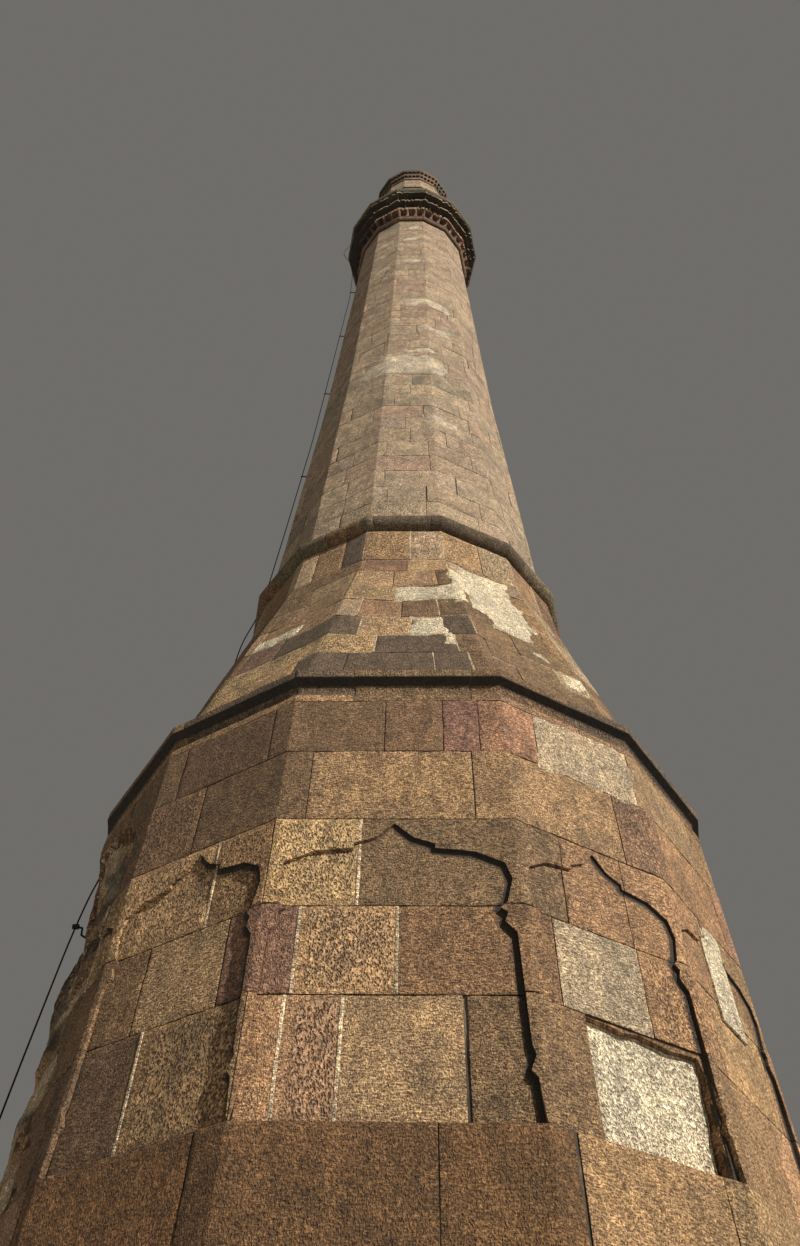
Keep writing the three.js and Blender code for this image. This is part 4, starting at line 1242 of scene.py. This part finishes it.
# Corbelled niches under the balcony
def niche(ring, q0, q1, z0, z1, rng, look, soot, depth, rib, arch, drop, painted_shade):
    """A block with a deep arched hollow under an overhanging broken lip, between two half ribs."""
    side = [0, 0.5 * rib, rib, rib + 0.01]
    a = np.array(side + [0.22, 0.36, 0.5, 0.64, 0.78] + [1 - rib - 0.01, 1 - rib, 1 - 0.5 * rib, 1])
    spring = arch - drop * np.abs(2 * a - 1) ** 2.6 + 0.02 * rng.standard_normal(len(a))
    spring[[0, -1]] = arch - drop
    low = np.linspace(0, 1, 5)[:, None] * spring
    lip = spring + np.array([0.0, 0.15, 0.92, 1.0])[:, None] * (1 - spring)
    B = np.concatenate([low, lip])
    inside = np.zeros(B.shape, bool)
    inside[:5, 3:-3] = True
    corbel = TIER_REACH * 0.85 * np.clip(B / np.maximum(spring, 0.1), 0, 1) ** 2.5
    hollow = -depth * np.sin(math.pi * np.clip((a - rib) / (1 - 2 * rib), 0.06, 0.94)) ** 0.7
    broken = np.clip(rng.standard_normal(len(a)) - 0.6, 0, 1)
    d = np.where(inside, hollow, corbel - (0.06 if painted_shade > 1 else 0.0))
    d[5:] = TIER_REACH * (1 - 0.4 * broken) + 0.006
    d[-1] -= 0.012
    Q = q0 + (q1 - q0) * np.broadcast_to(a, B.shape)
    Z = z0 + 0.003 + (z1 - z0 - 0.006) * B
    sink = (math.hypot(*ring.corners[0, 0, :2]) - BORE_RADIUS - 0.005) / OUTWARD
    points, quads, ends = shell(ring, Q, Z, d, sink)
    # Painted shade in the hollows, on the ribs, under the lip and on the hidden back; the lips get soot
    soot_and_painted_shade = np.where(inside, painted_shade, 0.7 * painted_shade + 0.2 * B)
    soot_and_painted_shade[5] = painted_shade
    soot_and_painted_shade[6:] = soot + 0.5 * np.clip(rng.standard_normal(len(a)), 0, 1)
    tints = np.tile([*STONES[look], 1.0], (len(points), 1))
    tints[:B.size, 3] = soot_and_painted_shade.ravel()
    tints[:, :3] *= 1 + 0.10 * rng.standard_normal()
    return Block(points, quads, ends, points[:, [0, 2, 1]], np.clip(tints, 0.0, 1.5), 0.3)


# Each tier: niches on a face, first q, colours, and a niche's soot, depth, rib, arch, drop and painted shade
TIERS = [
    (3, 0.0, ["bead", "pink", "bead"], (0.05, 0.035, 0.17, 0.55, 0.22, 0.55)),
    (2, 0.25, ["buff", "ochre", "buff"], (0.0, 0.12, 0.04, 0.80, 0.16, 2.0)),
    (2, 0.0, ["buff", "cream", "lichen"], (0.0, 0.13, 0.04, 0.78, 0.16, 2.0)),
]


def build_corbels(rng):
    for tier, (cells, shift, looks, shape) in enumerate(TIERS):
        z0 = NECK_TOP + tier * TIER_HEIGHT
        root = TIER_ROOT + tier * TIER_REACH
        ring = polygon_ring(SHAFT_ANGLES, [(root, z0), (root, z0 + TIER_HEIGHT)])
        blocks = []
        for k in range(SIDES * cells):
            q = k / cells + shift
            look = looks[int(rng.integers(3))]
            block = niche(ring, q, q + 1.0 / cells, z0, z0 + TIER_HEIGHT, rng, look, *shape)
            # Painted shade on the left side, away from the sun
            block.tint[:, 3] += 0.55 * min(max(q - 8.5, 0), 1) * min(max((13.3 - q) / 1.3, 0), 1)
            blocks.append(block)
        piece = show(f"corbel_niches_{tier + 1}", blocks, sharp=math.radians(30))
        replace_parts(piece, f"corbel_tier_{tier + 1}")


# Roof and metalwork
def build_spire(rng):
    """Lead sheets, lapped like slates, with rolled seams that get slimmer towards the tip."""
    blocks = []
    levels = [CAP_TOP + 0.02, CAP_TOP + 0.13] + list(np.linspace(CAP_TOP + 1.1, SPIRE_TOP - 0.05, 6))
    for i, (z0, z1, slim) in enumerate(zip(levels, levels[1:], (1, 1, 1, 0.85, 0.7, 0.5, 0.3))):
        for f in range(SIDES):
            blocks.append(stone(spire_ring, f, f + 1, z0, z1, "grey", rng, proud=0.003 + 0.003 * (i % 2),
                                sink=0.012, gap=0.0005, cell=0.2, edge=0.02, wear=0.0, relief=0.0012,
                                jitter=0.0))
            blocks.append(smear(spire_ring, f, f, z0, z1 + 0.02, rng, 0.034 * slim, 0.024 * slim))
    show("spire_sheets", blocks, lead, math.radians(50))


def build_railing():
    """Thin upright bars between the posts of the railing."""
    bars, half = 6, 0.006
    ring = polygon_ring(SHAFT_ANGLES, [(RAILING_RADIUS, SLAB_TOP), (RAILING_RADIUS, SLAB_TOP + 1.0)])
    foot, head = SLAB_TOP + 0.1, SLAB_TOP + 0.856
    blocks = []
    for q in (k / bars for k in range(SIDES * bars) if k % bars):
        side = ring.share(half, q, foot)
        Q, Z = np.meshgrid([q - side, q + side], [foot, head])
        points, quads, ends = shell(ring, Q, Z, half, half)
        blocks.append(Block(points, quads, ends, points, DARK, 0.0))
    show("railing_bars", blocks, iron)


# Lightning conductor on its stand-off clips
WIRE_ANGLE = math.radians(-87)
WIRE_ROUTE = [
    (0.17, 37.48), (0.23, 37.0), (0.53, 35.2), (1.095, CAP_TOP + 0.24), (1.177, CAP_TOP - 0.1),
    (1.157, CAP_TOP - 0.5), (1.1, DRUM_TOP - 0.3), (1.1, 28.6), (1.49, 27.3), (1.67, SLAB_TOP + 0.16),
    (1.67, SLAB_BOTTOM - 0.06), (1.49, 25.15), (1.358, SHAFT_TOP), (1.306, 22.1), (1.365, 18.3),
    (1.42, SHAFT_BEND), (1.5, 12.1), (1.575, 10.0), (1.7, RING_TOP - 0.13),
    (1.69, 9.0), (1.85, 8.25), (2.13, 7.0), (2.29, 6.45), (2.34, 5.95), (2.362, 5.25), (2.378, 4.7),
    (2.385, 4.1), (2.33, 3.0), (2.3, 1.5), (2.29, FOOT_TOP + 0.09),
]
CLIPS = [1.2, 3.05, 10.6, 13.4, 16.5, 19.5, 22.5, 29.4]
# Wall behind the clips: height, distance from the axis
WIRE_WALL = [
    (0, 2.15), (ARCH_TOP, 2.15), (CORNICE_TOP, 2.06), (FACET_TOP, 1.53), (RING_TOP, 1.44), (SHAFT_BEND, 1.28),
    (SHAFT_TOP, 1.14), (SLAB_TOP, 1.14), (SLAB_TOP + 0.01, 0.92), (DRUM_TOP, 0.92),
]
# Heights of the bracket at the base and of its root in the wall
BRACKET = 5.95
BRACKET_FOOT = 5.86


def tube(route, radius, sides=6):
    """Round bar along points (distance from the axis, height) in the conductor's upright plane."""
    route = np.asarray(route, float)
    along = np.gradient(route, axis=0)
    along /= np.linalg.norm(along, axis=1, keepdims=True)
    out = np.array([math.sin(WIRE_ANGLE), -math.cos(WIRE_ANGLE), 0.0])
    side = np.array([math.cos(WIRE_ANGLE), math.sin(WIRE_ANGLE), 0.0])
    up = np.array([0.0, 0.0, 1.0])
    turns = (np.arange(sides) * 2 * math.pi / sides)[None, :, None]
    centre = route[:, :1] * out + route[:, 1:] * up
    across = -along[:, 1:] * out + along[:, :1] * up
    points = centre[:, None] + radius * (np.cos(turns) * side + np.sin(turns) * across[:, None])
    points = points.reshape(-1, 3)
    index = np.arange(len(route) * sides).reshape(-1, sides)
    after = np.roll(index, -1, axis=1)
    quads = np.stack([index[:-1], after[:-1], after[1:], index[1:]], axis=2).reshape(-1, 4)
    return Block(points, quads, [list(index[0][::-1]), list(index[-1])], points, DARK, 0.0)


def build_conductor():
    reach, height = np.array(WIRE_ROUTE[::-1]).T
    z = np.linspace(height[0], height[-1], 420)
    r = np.convolve(np.pad(np.interp(z, height, reach), 3, "edge"), np.ones(7) / 7, "valid")
    blocks = [tube(np.stack([r, z], axis=1), 0.006)]
    for at in CLIPS:
        wall = np.interp(at, *np.array(WIRE_WALL).T)
        blocks.append(tube([(wall - 0.05, at), (np.interp(at, z, r) + 0.012, at)], 0.009))
    meet = np.interp(BRACKET, z, r)
    bend = [(2.275, BRACKET_FOOT + 0.02), (2.285, BRACKET - 0.01)]
    blocks.append(tube([(2.1, BRACKET_FOOT), (2.24, BRACKET_FOOT), *bend, (meet, BRACKET)], 0.008))
    blocks.append(tube([(meet - 0.022, BRACKET), (meet + 0.022, BRACKET)], 0.019))
    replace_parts(show("conductor_with_clips", blocks, iron), "lightning_conductor")


# Stage
def build_floor():
    half = 90.0
    corners = [(-half, -half, 0), (half, -half, 0), (half, half, 0), (-half, half, 0)]
    mesh = plain_mesh("floor", corners, [(0, 1, 2, 3)])
    floor = bpy.data.objects.new("floor", mesh)
    bpy.context.scene.collection.objects.link(floor)
    mesh.materials.append(Graph("pale_floor").finish((0.42, 0.41, 0.39, 1.0), 0.9))


def build_light():
    world = bpy.data.worlds.new("studio")
    world.use_nodes = True
    background = world.node_tree.nodes["Background"]
    background.inputs["Color"].default_value = (1.0, 0.955, 0.89, 1.0)
    background.inputs["Strength"].default_value = 0.16
    bpy.context.scene.world = world
    sun = bpy.data.lights.new("key", "SUN")
    sun.energy = 4.6
    sun.angle = math.radians(0.8)
    sun.color = (1.0, 0.94, 0.85)
    lamp = bpy.data.objects.new("key", sun)
    azimuth, elevation = math.radians(50), math.radians(30)
    source = Vector(corner(math.cos(elevation), azimuth, math.sin(elevation)))
    lamp.rotation_euler = source.to_track_quat("Z", "Y").to_euler()
    lamp.location = source * 60
    bpy.context.scene.collection.objects.link(lamp)


def build_camera():
    """The photograph's view: its focal length and height in pixels, and the eye's place and turn."""
    focal_pixels, photo_height = 950, 1246
    pitch, roll, yaw = 0.9715, 0.02482, -0.03478
    ahead = Vector((math.sin(yaw) * math.cos(pitch), math.cos(yaw) * math.cos(pitch), math.sin(pitch)))
    level = Vector((math.cos(yaw), -math.sin(yaw), 0))
    above = level.cross(ahead)
    right = level * math.cos(roll) + above * math.sin(roll)
    up = above * math.cos(roll) - level * math.sin(roll)
    camera = bpy.data.cameras.new("camera")
    camera.sensor_width = 36.0
    camera.lens = camera.sensor_width * focal_pixels / photo_height
    camera.clip_end = 500
    eye = bpy.data.objects.new("camera", camera)
    turn = Matrix((right, up, -ahead)).transposed().to_4x4()
    eye.matrix_world = Matrix.Translation((0.1266, -5.709, 1.6)) @ turn
    bpy.context.scene.collection.objects.link(eye)
    bpy.context.scene.camera = eye


build_camera()
build_light()
build_floor()
build_arch_wall(np.random.default_rng(11))
build_patch(np.random.default_rng(21))
build_plinth(np.random.default_rng(12))
build_mouldings(np.random.default_rng(13))
build_transition(np.random.default_rng(14))
build_shaft(np.random.default_rng(15))
build_drum(np.random.default_rng(16))
build_corbels(np.random.default_rng(17))
build_spire(np.random.default_rng(18))
build_railing()
build_conductor()

bpy.context.scene.view_settings.view_transform = "Standard"
